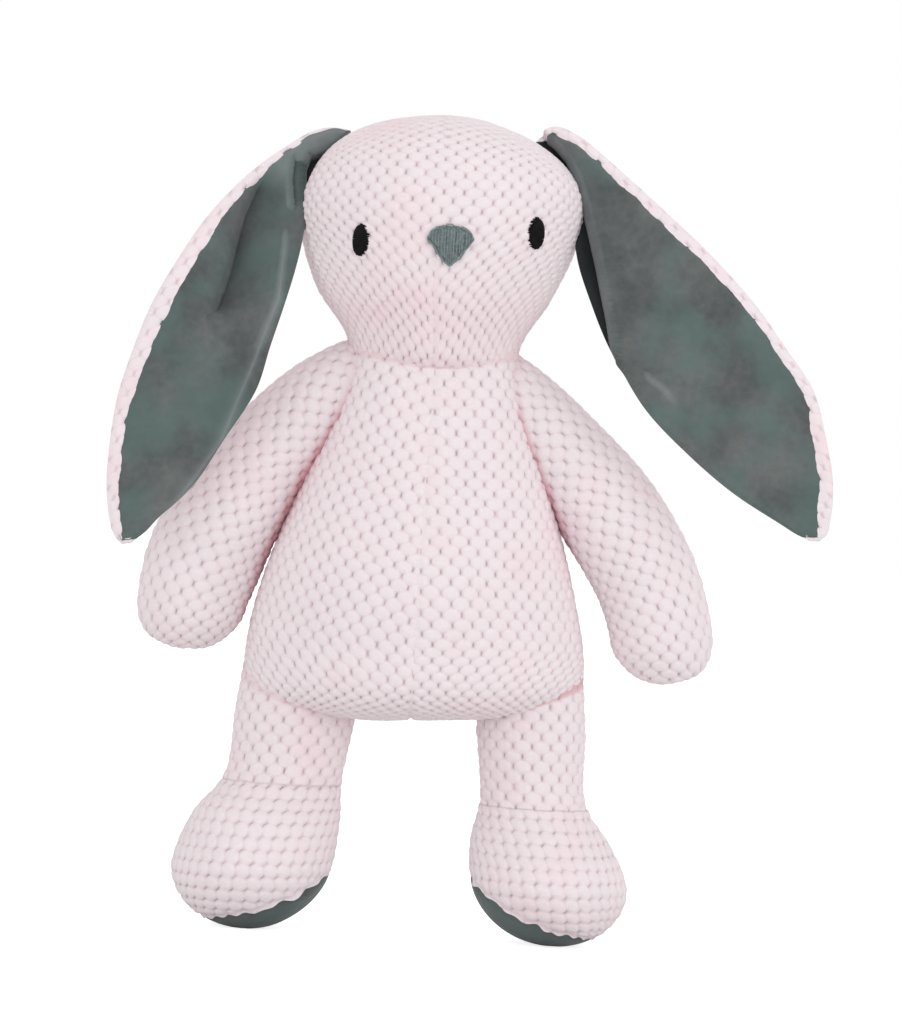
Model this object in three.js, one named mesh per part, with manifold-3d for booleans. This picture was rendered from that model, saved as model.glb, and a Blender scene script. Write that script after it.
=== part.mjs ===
// Stuffed bunny: a plush toy of popcorn fabric with grey velour soles and ear linings.
// Millimetres, +Z up, the face looks along -Y, the toy's own left side is +X.
// Its sizes are measured from the middle of the body. The group is then moved, so that the
// origin lies on the floor at the middle of the box round the whole toy, ears included.

import * as THREE from "three";
import { mergeVertices } from "three/addons/utils/BufferGeometryUtils.js";
import Module from "manifold-3d";

const wasm = await Module();
wasm.setup();

// Fabric and clearances
const plushWall = 2.5;
const velourWall = 1.6;
const threadHeight = 1.2;
const seamGap = 0.3;
const fillingGap = 0.8;
const flatDepth = 0.5;

// Torso, a pear with its waist drawn up into the neck
const torsoBottom = 92.5;
const torsoTop = 276;
const seatRise = 24;
const seatFullness = 3;
const neckRound = 10;
const hipHeight = 116;
const hipHalfWidth = 72.5;
const hipHalfDepth = 50;
const bellyHeight = 150;
const bellyHalfWidth = 67;
const bellyHalfDepth = 51;
const chestHeight = 189;
const chestHalfWidth = 54.5;
const chestHalfDepth = 43;
const shoulderHeight = 226;
const shoulderHalfWidth = 39;
const shoulderHalfDepth = 35;
const neckHalfWidth = 34;
const neckHalfDepth = 35;
const torsoForward = -1;

// Neck seat, a shallow dome that the head turns on
const neckCrown = 264;
const neckRimHeight = 249;
const neckRimRadius = 36;
const neckTurnAxis = [0, -1];
const plugReach = 1.6;

// Head
const headBottom = 236;
const headTop = 350;
const chinHeight = 254;
const chinHalfWidth = 37.5;
const chinHalfDepth = 38.5;
const jawHeight = 274;
const jawHalfWidth = 49.5;
const jawHalfDepth = 47;
const cheekHeight = 300;
const cheekHalfWidth = 59;
const cheekHalfDepth = 52;
const browHeight = 322;
const browHalfWidth = 60;
const browHalfDepth = 51;
const crownRound = 42;
const crownFullness = 2.15;
const chinRound = 12;
const headLean = -4;
const headForward = -3;

// Arms, sewn to the sides of the neck and resting on the flanks
const armRoot = [33, 234];
const armRootHalfWidth = 16;
const armRootHalfDepth = 18;
const upperArmHalfWidth = 19.5;
const upperArmHalfDepth = 20;
const elbowHalfWidth = 22;
const foreArmHalfDepth = 21.5;
const handHalfDepth = 21;
const handRound = 20;
const handFullness = 2.2;
const rootRound = 8;
const armForward = -1;

// Legs and feet
const hipPivotHeight = 70;
const hipCupInner = [27, 23];
const hipCupOuter = [74, 43.5];
const legTop = 124;
const thighHeight = 93.5;
const legHalfDepth = 22.4;
const overAnkle = 2;
const underAnkle = 14;
const instepHalfDepth = 30;
const instepForward = -5;
const footHeight = 29;
const footHalfDepth = 37;
const footForward = -9;
const soleHalfDepth = 36;
const soleForward = -8;
const soleTilt = THREE.MathUtils.degToRad(22);
const solePitch = THREE.MathUtils.degToRad(12);
const soleSeamHeight = 15;

// Ears, two cloths sewn back to back, hanging forward of the arms
const earCup = 4;
const earCupWidth = 32;
const earLiningGap = 0.8;
const earOuterRim = 6;
const earInnerRim = 1;
const widestRim = 0.25;

// Embroidery
const eyeHalfWidth = 3.7;
const eyeHalfHeight = 6.9;
const noseHalfWidth = 10;
const noseHeight = 17.5;
const noseTop = 303.5;
const noseCorner = 1;
const noseTipRound = 3;
const noseOffset = 3.9;

// What differs between the toy's two sides. A leg's rings are [inset, half width], and a line
// across an ear has the x and z of its outer and inner edge and its y.
const sides = {
  left: {
    sign: 1,
    upperArm: [54.5, 213.5],
    elbow: [76.5, 186.5],
    foreArm: [96, 156],
    hand: [104, 130.5],
    handEnd: [105.5, 113.5],
    foreArmHalfWidth: 20.5,
    handHalfWidth: 21,
    eye: [40, 302.5],
    thigh: [49, 23.2],
    ankle: [52.3, 22.4],
    ankleHeight: 58,
    instep: [55.6, 28.6],
    foot: [60.8, 33.2],
    sole: [65.5, 33],
    soleRound: 28,
    ear: [
      { outer: [43, 351], inner: [34, 341], forward: -2 },
      { outer: [66.5, 337], inner: [50.5, 323], forward: -8 },
      { outer: [96.5, 312], inner: [57.5, 290], forward: -20 },
      { outer: [134, 276], inner: [71, 257.5], forward: -31 },
      { outer: [160, 242], inner: [90.5, 227], forward: -35 },
      { outer: [170.5, 202.5], inner: [129, 195.5], forward: -36 },
      { outer: [169.5, 186], inner: [151, 183.5], forward: -36 },
      { outer: [167, 179], inner: [164, 178.5], forward: -36 },
    ],
  },
  right: {
    sign: -1,
    upperArm: [54, 216.5],
    elbow: [75.5, 187.5],
    foreArm: [92.5, 156],
    hand: [98.5, 132.5],
    handEnd: [99.5, 115.5],
    foreArmHalfWidth: 22.5,
    handHalfWidth: 23,
    eye: [34.7, 295.3],
    thigh: [49.5, 24.6],
    ankle: [53.5, 24.6],
    ankleHeight: 62,
    instep: [60, 31.2],
    foot: [65, 34.6],
    sole: [68.4, 34.4],
    soleRound: 30,
    ear: [
      { outer: [43.5, 345.5], inner: [35, 336.5], forward: -2 },
      { outer: [66.5, 335], inner: [51.5, 323], forward: -8 },
      { outer: [100, 300.5], inner: [59, 291], forward: -20 },
      { outer: [121, 260.5], inner: [64.5, 262.5], forward: -31 },
      { outer: [132.5, 222], inner: [74, 226.5], forward: -35 },
      { outer: [135, 184], inner: [97.5, 186], forward: -36 },
      { outer: [131.5, 166.5], inner: [114.5, 167.5], forward: -36 },
      { outer: [126, 158.5], inner: [123.5, 158.5], forward: -36 },
    ],
  },
};

// Middle of the box round the toy, from the middle of its body
const boxMiddle = [17.74, -3.2];

// Facets
const bodySides = 20;
const limbSides = 12;
const capRings = 3;
const bodyRings = 5;
const limbRings = 4;
const neckSides = 28;
const hipSides = 30;
const earSteps = 9;
const earStrips = 4;
const cutterReach = 1000;

// Finishes
const finishes = {
  plush: new THREE.MeshStandardMaterial({ color: 0xe9dde0, roughness: 0.95, metalness: 0 }),
  velour: new THREE.MeshStandardMaterial({ color: 0x65706c, roughness: 0.9, metalness: 0 }),
  eyeThread: new THREE.MeshStandardMaterial({ color: 0x141412, roughness: 0.5, metalness: 0 }),
  noseThread: new THREE.MeshStandardMaterial({ color: 0x778586, roughness: 0.6, metalness: 0 }),
  stuffing: new THREE.MeshStandardMaterial({ color: 0xf4f4f2, roughness: 1, metalness: 0 }),
};

// Solids and meshes

/** Leaves a geometry with its positions alone and its shared corners merged. */
function welded(geometry) {
  const bare = geometry.clone();
  bare.deleteAttribute("normal");
  bare.deleteAttribute("uv");
  return mergeVertices(bare, 1e-4);
}

function toSolid(geometry) {
  const closed = welded(geometry);
  return new wasm.Manifold(
    new wasm.Mesh({
      numProp: 3,
      vertProperties: new Float32Array(closed.attributes.position.array),
      triVerts: new Uint32Array(closed.index.array),
    }),
  );
}

function toGeometry(solid) {
  const mesh = solid.getMesh();
  const geometry = new THREE.BufferGeometry();
  geometry.setAttribute("position", new THREE.BufferAttribute(mesh.vertProperties, 3));
  geometry.setIndex(new THREE.BufferAttribute(mesh.triVerts, 1));
  geometry.computeVertexNormals();
  return geometry;
}

/** Moves every corner of a closed form out along its normal, or in where the distance is negative. */
function offset(geometry, distance) {
  const moved = welded(geometry);
  moved.computeVertexNormals();
  const { position, normal } = moved.attributes;
  for (let i = 0; i < position.count; i += 1) {
    position.setXYZ(
      i,
      position.getX(i) + distance * normal.getX(i),
      position.getY(i) + distance * normal.getY(i),
      position.getZ(i) + distance * normal.getZ(i),
    );
  }
  return moved;
}

/** Keeps what lies on the side of a plane that its normal points to, less a margin. */
function sideOf(solid, point, normal, margin = seamGap / 2) {
  const box = new THREE.BoxGeometry(cutterReach, cutterReach, cutterReach);
  box.translate(0, 0, cutterReach / 2 + margin);
  const up = new THREE.Vector3(0, 0, 1);
  box.applyQuaternion(new THREE.Quaternion().setFromUnitVectors(up, normal.clone().normalize()));
  box.translate(point.x, point.y, point.z);
  return solid.intersect(toSolid(box));
}

// Plump forms

/** Distances of the rings along a form, closer together in its two round ends. */
function ringDistances(length, { startRound, endRound, rings }) {
  const roundStep = (round, share) => round * (1 - Math.cos((Math.PI / 2) * share));
  const distances = [];
  for (let k = 1; k <= capRings; k += 1) {
    distances.push(roundStep(startRound, k / capRings));
  }
  const middle = length - startRound - endRound;
  for (let k = 1; k < rings; k += 1) {
    distances.push(startRound + (middle * k) / rings);
  }
  for (let k = capRings; k >= 1; k -= 1) {
    distances.push(length - roundStep(endRound, k / capRings));
  }
  return distances;
}

/** How far a round end has opened at a distance from its tip, from 0 to 1. */
function opening(distance, round, power) {
  const rest = Math.max(0, 1 - distance / round);
  return (1 - rest ** power) ** (1 / power);
}

/**
 * A closed form of oval rings along a line of stations, round at both ends.
 * A station has its centre and half sizes; stride 2 takes every other corner of each ring.
 * Rings lie square to the line, or level where the form stands upright.
 */
function plumpForm(stations, spec, stride = 1) {
  const line = new THREE.CatmullRomCurve3(stations.map((s) => new THREE.Vector3(...s.centre)));
  const sizes = new THREE.CatmullRomCurve3(
    stations.map((s) => new THREE.Vector3(s.halfWidth, s.halfDepth, 0)),
  );
  const length = line.getLength();
  const distances = ringDistances(length, spec);
  const corners = spec.sides / stride;
  const points = [line.getPoint(0)];
  for (const distance of distances) {
    const t = line.getUtoTmapping(0, distance);
    const centre = line.getPoint(t);
    const along = line.getTangent(t);
    if (spec.level) {
      along.set(0, 0, Math.sign(along.z));
    }
    const across = new THREE.Vector3(0, 1, 0).cross(along).normalize();
    const back = along.clone().cross(across);
    const size = sizes.getPoint(t);
    const open =
      opening(distance, spec.startRound, spec.startPower ?? 2) *
      opening(length - distance, spec.endRound, spec.endPower ?? 2);
    for (let j = 0; j < corners; j += 1) {
      const angle = (2 * Math.PI * j) / corners;
      points.push(
        centre
          .clone()
          .addScaledVector(across, open * size.x * Math.cos(angle))
          .addScaledVector(back, open * size.y * Math.sin(angle)),
      );
    }
  }
  points.push(line.getPoint(1));
  return closedRings(points, corners, distances.length);
}

/** Faces between rings of equal count, with the first and last point as the two tips. */
function closedRings(points, corners, ringCount) {
  const corner = (ring, j) => 1 + ring * corners + (j % corners);
  const faces = [];
  for (let j = 0; j < corners; j += 1) {
    faces.push(0, corner(0, j + 1), corner(0, j));
    for (let ring = 0; ring < ringCount - 1; ring += 1) {
      faces.push(corner(ring, j), corner(ring, j + 1), corner(ring + 1, j + 1));
      faces.push(corner(ring, j), corner(ring + 1, j + 1), corner(ring + 1, j));
    }
    faces.push(points.length - 1, corner(ringCount - 1, j), corner(ringCount - 1, j + 1));
  }
  const geometry = new THREE.BufferGeometry().setFromPoints(points);
  geometry.setIndex(faces);
  return geometry;
}

/** The skin and the filling of a form, each cut by the same function. */
function skinAndFilling(stations, spec, cut) {
  const outer = plumpForm(stations, spec);
  const inner = offset(outer, -plushWall);
  const core = offset(plumpForm(stations, spec, spec.coreStride), -plushWall - fillingGap);
  return {
    outer,
    skin: cut(toSolid(outer).subtract(toSolid(inner))),
    filling: cut(toSolid(core)),
  };
}

// Turned surfaces that the joints move on

/** A solid turned about the upright axis of the neck from a closed profile of [radius, height]. */
function turnedUpright(profile) {
  const lathe = new THREE.LatheGeometry(
    profile.map(([radius, height]) => new THREE.Vector2(radius, height)),
    neckSides,
  );
  lathe.rotateX(Math.PI / 2);
  lathe.translate(neckTurnAxis[0], neckTurnAxis[1], 0);
  return toSolid(lathe);
}

/** Height of the neck seat at a radius from its axis. */
function neckSeat(radius) {
  return neckCrown - (neckCrown - neckRimHeight) * (radius / neckRimRadius) ** 2;
}

/** The dome of the neck, out to a radius and down past the chin, that the head sits on. */
function neckPlug() {
  const seatSteps = 8;
  const outerRadius = neckRimRadius * plugReach;
  const profile = [[0, neckSeat(outerRadius) - headTop]];
  profile.push([outerRadius, neckSeat(outerRadius) - headTop]);
  for (let k = seatSteps; k >= 0; k -= 1) {
    const radius = (outerRadius * k) / seatSteps;
    profile.push([radius, neckSeat(radius)]);
  }
  return turnedUpright(profile);
}

/** The room that the head needs to turn in, over the seat and round the chin and cheeks. */
function headRoom(headForm) {
  const reach = new Map();
  const { position } = headForm.attributes;
  for (let i = 0; i < position.count; i += 1) {
    const height = position.getZ(i).toFixed(3);
    const radius = Math.hypot(
      position.getX(i) - neckTurnAxis[0],
      position.getY(i) - neckTurnAxis[1],
    );
    reach.set(height, Math.max(reach.get(height) ?? 0, radius));
  }
  const flank = [...reach]
    .map(([height, radius]) => [radius + seamGap, Number(height) - seamGap])
    .filter(([radius, height]) => height > neckSeat(radius) && height < cheekHeight + seatRise)
    .sort((a, b) => a[1] - b[1]);
  const seatSteps = 6;
  const seat = [];
  for (let k = 0; k <= seatSteps; k += 1) {
    const radius = (flank[0][0] * k) / seatSteps;
    seat.push([radius, neckSeat(radius) - seamGap]);
  }
  return turnedUpright([...seat, ...flank, [0, flank[flank.length - 1][1]]]);
}

/** The round cup of a hip about its cross axis, wider to the outside, grown by a clearance. */
function hipCup(sign, clearance) {
  const [innerX, innerRadius] = hipCupInner;
  const [outerX, outerRadius] = hipCupOuter;
  const slope = (outerRadius - innerRadius) / (outerX - innerX);
  const start = innerX - plushWall - clearance;
  const end = outerX + 4 * plushWall;
  const radiusAt = (x) => innerRadius + slope * (x - innerX) + clearance;
  const lathe = new THREE.LatheGeometry(
    [
      new THREE.Vector2(0, start),
      new THREE.Vector2(radiusAt(start), start),
      new THREE.Vector2(radiusAt(end), end),
      new THREE.Vector2(0, end),
    ],
    hipSides,
  );
  lathe.rotateZ(-Math.PI / 2);
  if (sign < 0) {
    lathe.rotateZ(Math.PI);
  }
  lathe.translate(0, 0, hipPivotHeight);
  return toSolid(lathe);
}

// Head and torso

const headStations = [
  { centre: [0, headForward, headBottom], halfWidth: neckHalfWidth, halfDepth: neckHalfDepth },
  { centre: [0, headForward, chinHeight], halfWidth: chinHalfWidth, halfDepth: chinHalfDepth },
  { centre: [0, headForward, jawHeight], halfWidth: jawHalfWidth, halfDepth: jawHalfDepth },
  { centre: [0, headForward, cheekHeight], halfWidth: cheekHalfWidth, halfDepth: cheekHalfDepth },
  { centre: [0, headForward, browHeight], halfWidth: browHalfWidth, halfDepth: browHalfDepth },
  { centre: [headLean, headForward, headTop], halfWidth: browHalfWidth, halfDepth: browHalfDepth },
];
const headSpec = {
  startRound: chinRound,
  endRound: crownRound,
  endPower: crownFullness,
  level: true,
  sides: bodySides,
  coreStride: 2,
  rings: bodyRings,
};

const torsoStations = [
  { centre: [0, torsoForward, torsoBottom], halfWidth: hipHalfWidth, halfDepth: hipHalfDepth },
  { centre: [0, torsoForward, hipHeight], halfWidth: hipHalfWidth, halfDepth: hipHalfDepth },
  { centre: [0, torsoForward, bellyHeight], halfWidth: bellyHalfWidth, halfDepth: bellyHalfDepth },
  { centre: [0, torsoForward, chestHeight], halfWidth: chestHalfWidth, halfDepth: chestHalfDepth },
  {
    centre: [0, torsoForward, shoulderHeight],
    halfWidth: shoulderHalfWidth,
    halfDepth: shoulderHalfDepth,
  },
  { centre: [0, torsoForward, torsoTop], halfWidth: neckHalfWidth, halfDepth: neckHalfDepth },
];
const torsoSpec = {
  startRound: seatRise,
  startPower: seatFullness,
  endRound: neckRound,
  level: true,
  sides: bodySides,
  coreStride: 2,
  rings: bodyRings,
};

const headForm = plumpForm(headStations, headSpec);
const turningRoom = headRoom(headForm);
const plug = neckPlug();
const hipCups = hipCup(1, seamGap).add(hipCup(-1, seamGap));

const head = skinAndFilling(headStations, headSpec, (solid) => solid.subtract(plug));
const torso = skinAndFilling(torsoStations, torsoSpec, (solid) =>
  solid.subtract(turningRoom).subtract(hipCups),
);
const headClearance = toSolid(offset(head.outer, seamGap));
const torsoClearance = toSolid(offset(torso.outer, seamGap));

// Limbs

function armStations(side) {
  const at = ([x, z]) => [side.sign * x, armForward, z];
  return [
    { centre: at(armRoot), halfWidth: armRootHalfWidth, halfDepth: armRootHalfDepth },
    { centre: at(side.upperArm), halfWidth: upperArmHalfWidth, halfDepth: upperArmHalfDepth },
    { centre: at(side.elbow), halfWidth: elbowHalfWidth, halfDepth: foreArmHalfDepth },
    { centre: at(side.foreArm), halfWidth: side.foreArmHalfWidth, halfDepth: foreArmHalfDepth },
    { centre: at(side.hand), halfWidth: side.handHalfWidth, halfDepth: handHalfDepth },
    { centre: at(side.handEnd), halfWidth: side.handHalfWidth, halfDepth: handHalfDepth },
  ];
}

const armSpec = {
  startRound: rootRound,
  endRound: handRound,
  endPower: handFullness,
  sides: limbSides,
  coreStride: 2,
  rings: limbRings,
};

function legStations(side) {
  const ring = ([inset, halfWidth], forward, height, halfDepth) => ({
    centre: [side.sign * inset, forward, height],
    halfWidth,
    halfDepth,
  });
  return [
    ring(side.thigh, 0, legTop, legHalfDepth),
    ring(side.thigh, 0, thighHeight, legHalfDepth),
    ring(side.ankle, 0, side.ankleHeight + overAnkle, legHalfDepth),
    ring(side.instep, instepForward, side.ankleHeight - underAnkle, instepHalfDepth),
    ring(side.foot, footForward, footHeight, footHalfDepth),
    ring(side.sole, soleForward, -flatDepth, soleHalfDepth),
  ];
}

function legSpec(side) {
  return {
    startRound: rootRound,
    endRound: side.soleRound,
    level: true,
    sides: limbSides,
    coreStride: 2,
    rings: limbRings + 1,
  };
}

/** What a leg loses at its top, so that it turns in its hip cup. */
function overHipCup(sign) {
  const above = new THREE.BoxGeometry(cutterReach, cutterReach, cutterReach);
  above.translate(0, 0, hipPivotHeight + cutterReach / 2);
  return toSolid(above).subtract(hipCup(sign, 0));
}

// Ears

/** Lift of a place across an ear, from -1 to 1: a parabola in as many straight steps as strips. */
function cupped(share) {
  const step = 2 / earStrips;
  const below = Math.floor(share / step) * step;
  const part = (share - below) / step;
  return (1 - part) * below ** 2 + part * (below + step) ** 2;
}

/**
 * One cloth of an ear: a cupped strip between two levels of its thickness, inside its rims.
 * It ends some steps short of the tip.
 */
function earCloth(side, { level, thickness, innerRim, outerRim, shortBy }) {
  const edge = (name) =>
    new THREE.CatmullRomCurve3(
      side.ear.map(
        (line) => new THREE.Vector3(side.sign * line[name][0], line.forward, line[name][1]),
      ),
    );
  const outerEdge = edge("outer");
  const innerEdge = edge("inner");
  const row = (t, height) => {
    const outer = outerEdge.getPoint(t);
    const inner = innerEdge.getPoint(t);
    const centre = outer.clone().add(inner).divideScalar(2);
    const width = outer.distanceTo(inner);
    const across = outer.clone().sub(inner).normalize();
    const along = outerEdge.getTangent(t).add(innerEdge.getTangent(t));
    const front = across.clone().cross(along).multiplyScalar(-side.sign).normalize();
    const from = -width / 2 + Math.min(innerRim, width * widestRim);
    const to = width / 2 - Math.min(outerRim, width * widestRim);
    const strip = [];
    const cup = earCup * Math.min(1, width / earCupWidth);
    for (let j = 0; j <= earStrips; j += 1) {
      const reach = Math.min(to, Math.max(from, (width * j) / earStrips - width / 2));
      const lift = height + cup * cupped((2 * reach) / width);
      strip.push(
        centre
          .clone()
          .addScaledVector(across, reach)
          .addScaledVector(front, lift),
      );
    }
    return strip;
  };
  const rings = [];
  for (let i = 0; i <= earSteps - shortBy; i += 1) {
    const t = i / earSteps;
    const ring = [...row(t, level + thickness), ...row(t, level).reverse()];
    rings.push(side.sign > 0 ? ring.reverse() : ring);
  }
  return toSolid(closedStrip(rings));
}

/** A closed tube of equal rings with both ends capped strip by strip. */
function closedStrip(rings) {
  const corners = rings[0].length;
  const half = corners / 2;
  const index = (i, j) => i * corners + (j % corners);
  const faces = [];
  for (let i = 0; i < rings.length - 1; i += 1) {
    for (let j = 0; j < corners; j += 1) {
      faces.push(index(i, j), index(i, j + 1), index(i + 1, j + 1));
      faces.push(index(i, j), index(i + 1, j + 1), index(i + 1, j));
    }
  }
  const last = rings.length - 1;
  for (let j = 0; j < half - 1; j += 1) {
    const opposite = corners - 1 - j;
    faces.push(index(0, j), index(0, opposite), index(0, j + 1));
    faces.push(index(0, j + 1), index(0, opposite), index(0, opposite - 1));
    faces.push(index(last, j), index(last, j + 1), index(last, opposite));
    faces.push(index(last, j + 1), index(last, opposite - 1), index(last, opposite));
  }
  const geometry = new THREE.BufferGeometry().setFromPoints(rings.flat());
  geometry.setIndex(faces);
  return geometry;
}

// Embroidery on the face

/** A pad of thread that follows the face, from an outline seen from the front. */
function faceThread(outline) {
  const block = new THREE.ExtrudeGeometry(outline, {
    depth: cheekHalfDepth * 2,
    bevelEnabled: false,
    curveSegments: 6,
  });
  block.rotateX(Math.PI / 2);
  const raised = toSolid(offset(head.outer, seamGap + threadHeight));
  return toSolid(block).intersect(raised).subtract(headClearance);
}

function eyeOutline(side) {
  const [x, z] = side.eye;
  return new THREE.Shape().absellipse(side.sign * x, z, eyeHalfWidth, eyeHalfHeight, 0, 2 * Math.PI);
}

function noseOutline() {
  const corner = noseTop - noseHeight / 3;
  const tip = noseTop - noseHeight;
  const shape = new THREE.Shape();
  shape.moveTo(noseOffset, noseTop);
  shape.bezierCurveTo(
    noseOffset + noseHalfWidth / 2, noseTop,
    noseOffset + noseHalfWidth, noseTop - noseCorner,
    noseOffset + noseHalfWidth, corner,
  );
  shape.quadraticCurveTo(noseOffset + noseHalfWidth, tip + noseTipRound, noseOffset, tip);
  shape.quadraticCurveTo(noseOffset - noseHalfWidth, tip + noseTipRound, noseOffset - noseHalfWidth, corner);
  shape.bezierCurveTo(
    noseOffset - noseHalfWidth, noseTop - noseCorner,
    noseOffset - noseHalfWidth / 2, noseTop,
    noseOffset, noseTop,
  );
  return shape;
}

// Assembly

const bunny = new THREE.Group();
bunny.position.set(-boxMiddle[0], -boxMiddle[1], 0);

function addPiece(name, solid, finish) {
  const mesh = new THREE.Mesh(toGeometry(solid), finish);
  mesh.name = name;
  bunny.add(mesh);
}

const toLeft = new THREE.Vector3(1, 0, 0);
const toRight = new THREE.Vector3(-1, 0, 0);
const toFront = new THREE.Vector3(0, -1, 0);
const toBack = new THREE.Vector3(0, 1, 0);
const upward = new THREE.Vector3(0, 0, 1);

function addHead() {
  const seam = new THREE.Vector3(0, headForward, 0);
  const face = sideOf(head.skin, seam, toFront);
  addPiece("face_left", sideOf(face, seam, toLeft), finishes.plush);
  addPiece("face_right", sideOf(face, seam, toRight), finishes.plush);
  addPiece("head_back", sideOf(head.skin, seam, toBack), finishes.plush);
  addPiece("head_stuffing", head.filling, finishes.stuffing);
  addPiece("nose", faceThread(noseOutline()), finishes.noseThread);
}

function addTorso() {
  const seam = new THREE.Vector3(0, torsoForward, 0);
  const front = sideOf(torso.skin, seam, toFront);
  const back = sideOf(torso.skin, seam, toBack);
  addPiece("torso_front_left", sideOf(front, seam, toLeft), finishes.plush);
  addPiece("torso_front_right", sideOf(front, seam, toRight), finishes.plush);
  addPiece("torso_back_left", sideOf(back, seam, toLeft), finishes.plush);
  addPiece("torso_back_right", sideOf(back, seam, toRight), finishes.plush);
  addPiece("torso_stuffing", torso.filling, finishes.stuffing);
}

function addArm(name, side) {
  const arm = skinAndFilling(armStations(side), armSpec, (solid) =>
    solid.subtract(torsoClearance).subtract(turningRoom),
  );
  const seam = new THREE.Vector3(0, armForward, 0);
  addPiece(`arm_${name}_front`, sideOf(arm.skin, seam, toFront), finishes.plush);
  addPiece(`arm_${name}_back`, sideOf(arm.skin, seam, toBack), finishes.plush);
  addPiece(`arm_${name}_stuffing`, arm.filling, finishes.stuffing);
}

function addLeg(name, side) {
  const topWaste = overHipCup(side.sign);
  const floor = new THREE.Vector3(0, 0, 0);
  const leg = skinAndFilling(legStations(side), legSpec(side), (solid) =>
    sideOf(solid.subtract(topWaste), floor, upward, 0),
  );
  const ankle = new THREE.Vector3(0, 0, side.ankleHeight);
  const soleSeam = new THREE.Vector3(side.sign * side.sole[0], soleForward, soleSeamHeight);
  const soleUp = new THREE.Vector3(
    side.sign * Math.sin(soleTilt),
    -Math.sin(solePitch),
    Math.cos(soleTilt),
  );
  const upper = sideOf(leg.skin, soleSeam, soleUp);
  addPiece(`leg_${name}`, sideOf(upper, ankle, upward), finishes.plush);
  addPiece(`foot_${name}_upper`, sideOf(upper, ankle, upward.clone().negate()), finishes.plush);
  addPiece(`foot_${name}_sole`, sideOf(leg.skin, soleSeam, soleUp.clone().negate()), finishes.velour);
  addPiece(`leg_${name}_stuffing`, leg.filling, finishes.stuffing);
}

function addEar(name, side) {
  const back = earCloth(side, {
    level: -plushWall,
    thickness: plushWall,
    innerRim: 0,
    outerRim: 0,
    shortBy: 0,
  });
  const lining = earCloth(side, {
    level: earLiningGap,
    thickness: velourWall,
    innerRim: earInnerRim,
    outerRim: earOuterRim,
    shortBy: 1,
  });
  addPiece(`ear_${name}_back`, back.subtract(headClearance), finishes.plush);
  addPiece(`ear_${name}_lining`, lining.subtract(headClearance), finishes.velour);
}

addHead();
addTorso();
for (const [name, side] of Object.entries(sides)) {
  addPiece(`eye_${name}`, faceThread(eyeOutline(side)), finishes.eyeThread);
  addEar(name, side);
  addArm(name, side);
  addLeg(name, side);
}

export default bunny;
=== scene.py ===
"""Looks of the stuffed bunny: popcorn plush, grey velour ears and soles, embroidered face.

Metres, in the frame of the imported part: +Z up, the face looks along -Y and the toy's own
left side is +X. The body's middle plane lies at x = BODY_X.
"""

import logging
import math
from dataclasses import dataclass, field
from enum import Enum

import bmesh
import bpy
import numpy as np
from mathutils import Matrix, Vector

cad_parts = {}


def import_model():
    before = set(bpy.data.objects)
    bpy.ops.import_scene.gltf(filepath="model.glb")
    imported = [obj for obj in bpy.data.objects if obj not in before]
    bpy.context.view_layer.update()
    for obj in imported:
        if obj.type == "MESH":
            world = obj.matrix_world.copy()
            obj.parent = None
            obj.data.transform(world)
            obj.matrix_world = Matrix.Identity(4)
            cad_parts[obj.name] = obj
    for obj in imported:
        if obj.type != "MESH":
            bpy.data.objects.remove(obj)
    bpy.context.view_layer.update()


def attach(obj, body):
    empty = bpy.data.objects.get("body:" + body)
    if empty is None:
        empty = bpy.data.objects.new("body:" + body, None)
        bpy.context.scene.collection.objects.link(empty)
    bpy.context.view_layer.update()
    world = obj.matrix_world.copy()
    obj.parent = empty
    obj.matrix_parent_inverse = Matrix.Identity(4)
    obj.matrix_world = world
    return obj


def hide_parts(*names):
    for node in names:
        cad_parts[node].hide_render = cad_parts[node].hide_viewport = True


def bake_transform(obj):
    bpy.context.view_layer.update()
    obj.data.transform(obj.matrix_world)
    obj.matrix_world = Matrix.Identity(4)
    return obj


Pair = tuple[float, float]
Colour = tuple[float, float, float, float]
Socket = bpy.types.NodeSocket
Thing = bpy.types.Object
Node = bpy.types.Node
Material = bpy.types.Material

LOG = logging.getLogger("bunny")

MM = 0.001
BODY_X = -17.74 * MM
BODY_Y = 3.2 * MM
THREAD_RADIUS = 0.24 * MM
ROW_WANDER = 0.3 * MM


class Side(Enum):
    """The toy's own sides, with the sign of their x."""

    LEFT = 1
    RIGHT = -1

    @property
    def word(self) -> str:
        """The side's name as it appears in the names of nodes and bodies."""
        return self.name.lower()


def body_point(x: float, y: float, z: float) -> np.ndarray:
    """Turns millimetres from the body's middle into metres of the row frame."""
    return np.array([x * MM + BODY_X, y * MM + BODY_Y, z * MM])


def smoothstep(low: float, high: float, value: np.ndarray) -> np.ndarray:
    """Rises smoothly from 0 at low to 1 at high, which may also be the lower number."""
    share = np.clip((value - low) / (high - low), 0.0, 1.0)
    return share * share * (3.0 - 2.0 * share)


def bell(distance: np.ndarray, width: float) -> np.ndarray:
    """Falls from 1 at no distance to about a third at the width."""
    return np.exp(-((distance / width) ** 2))


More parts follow.
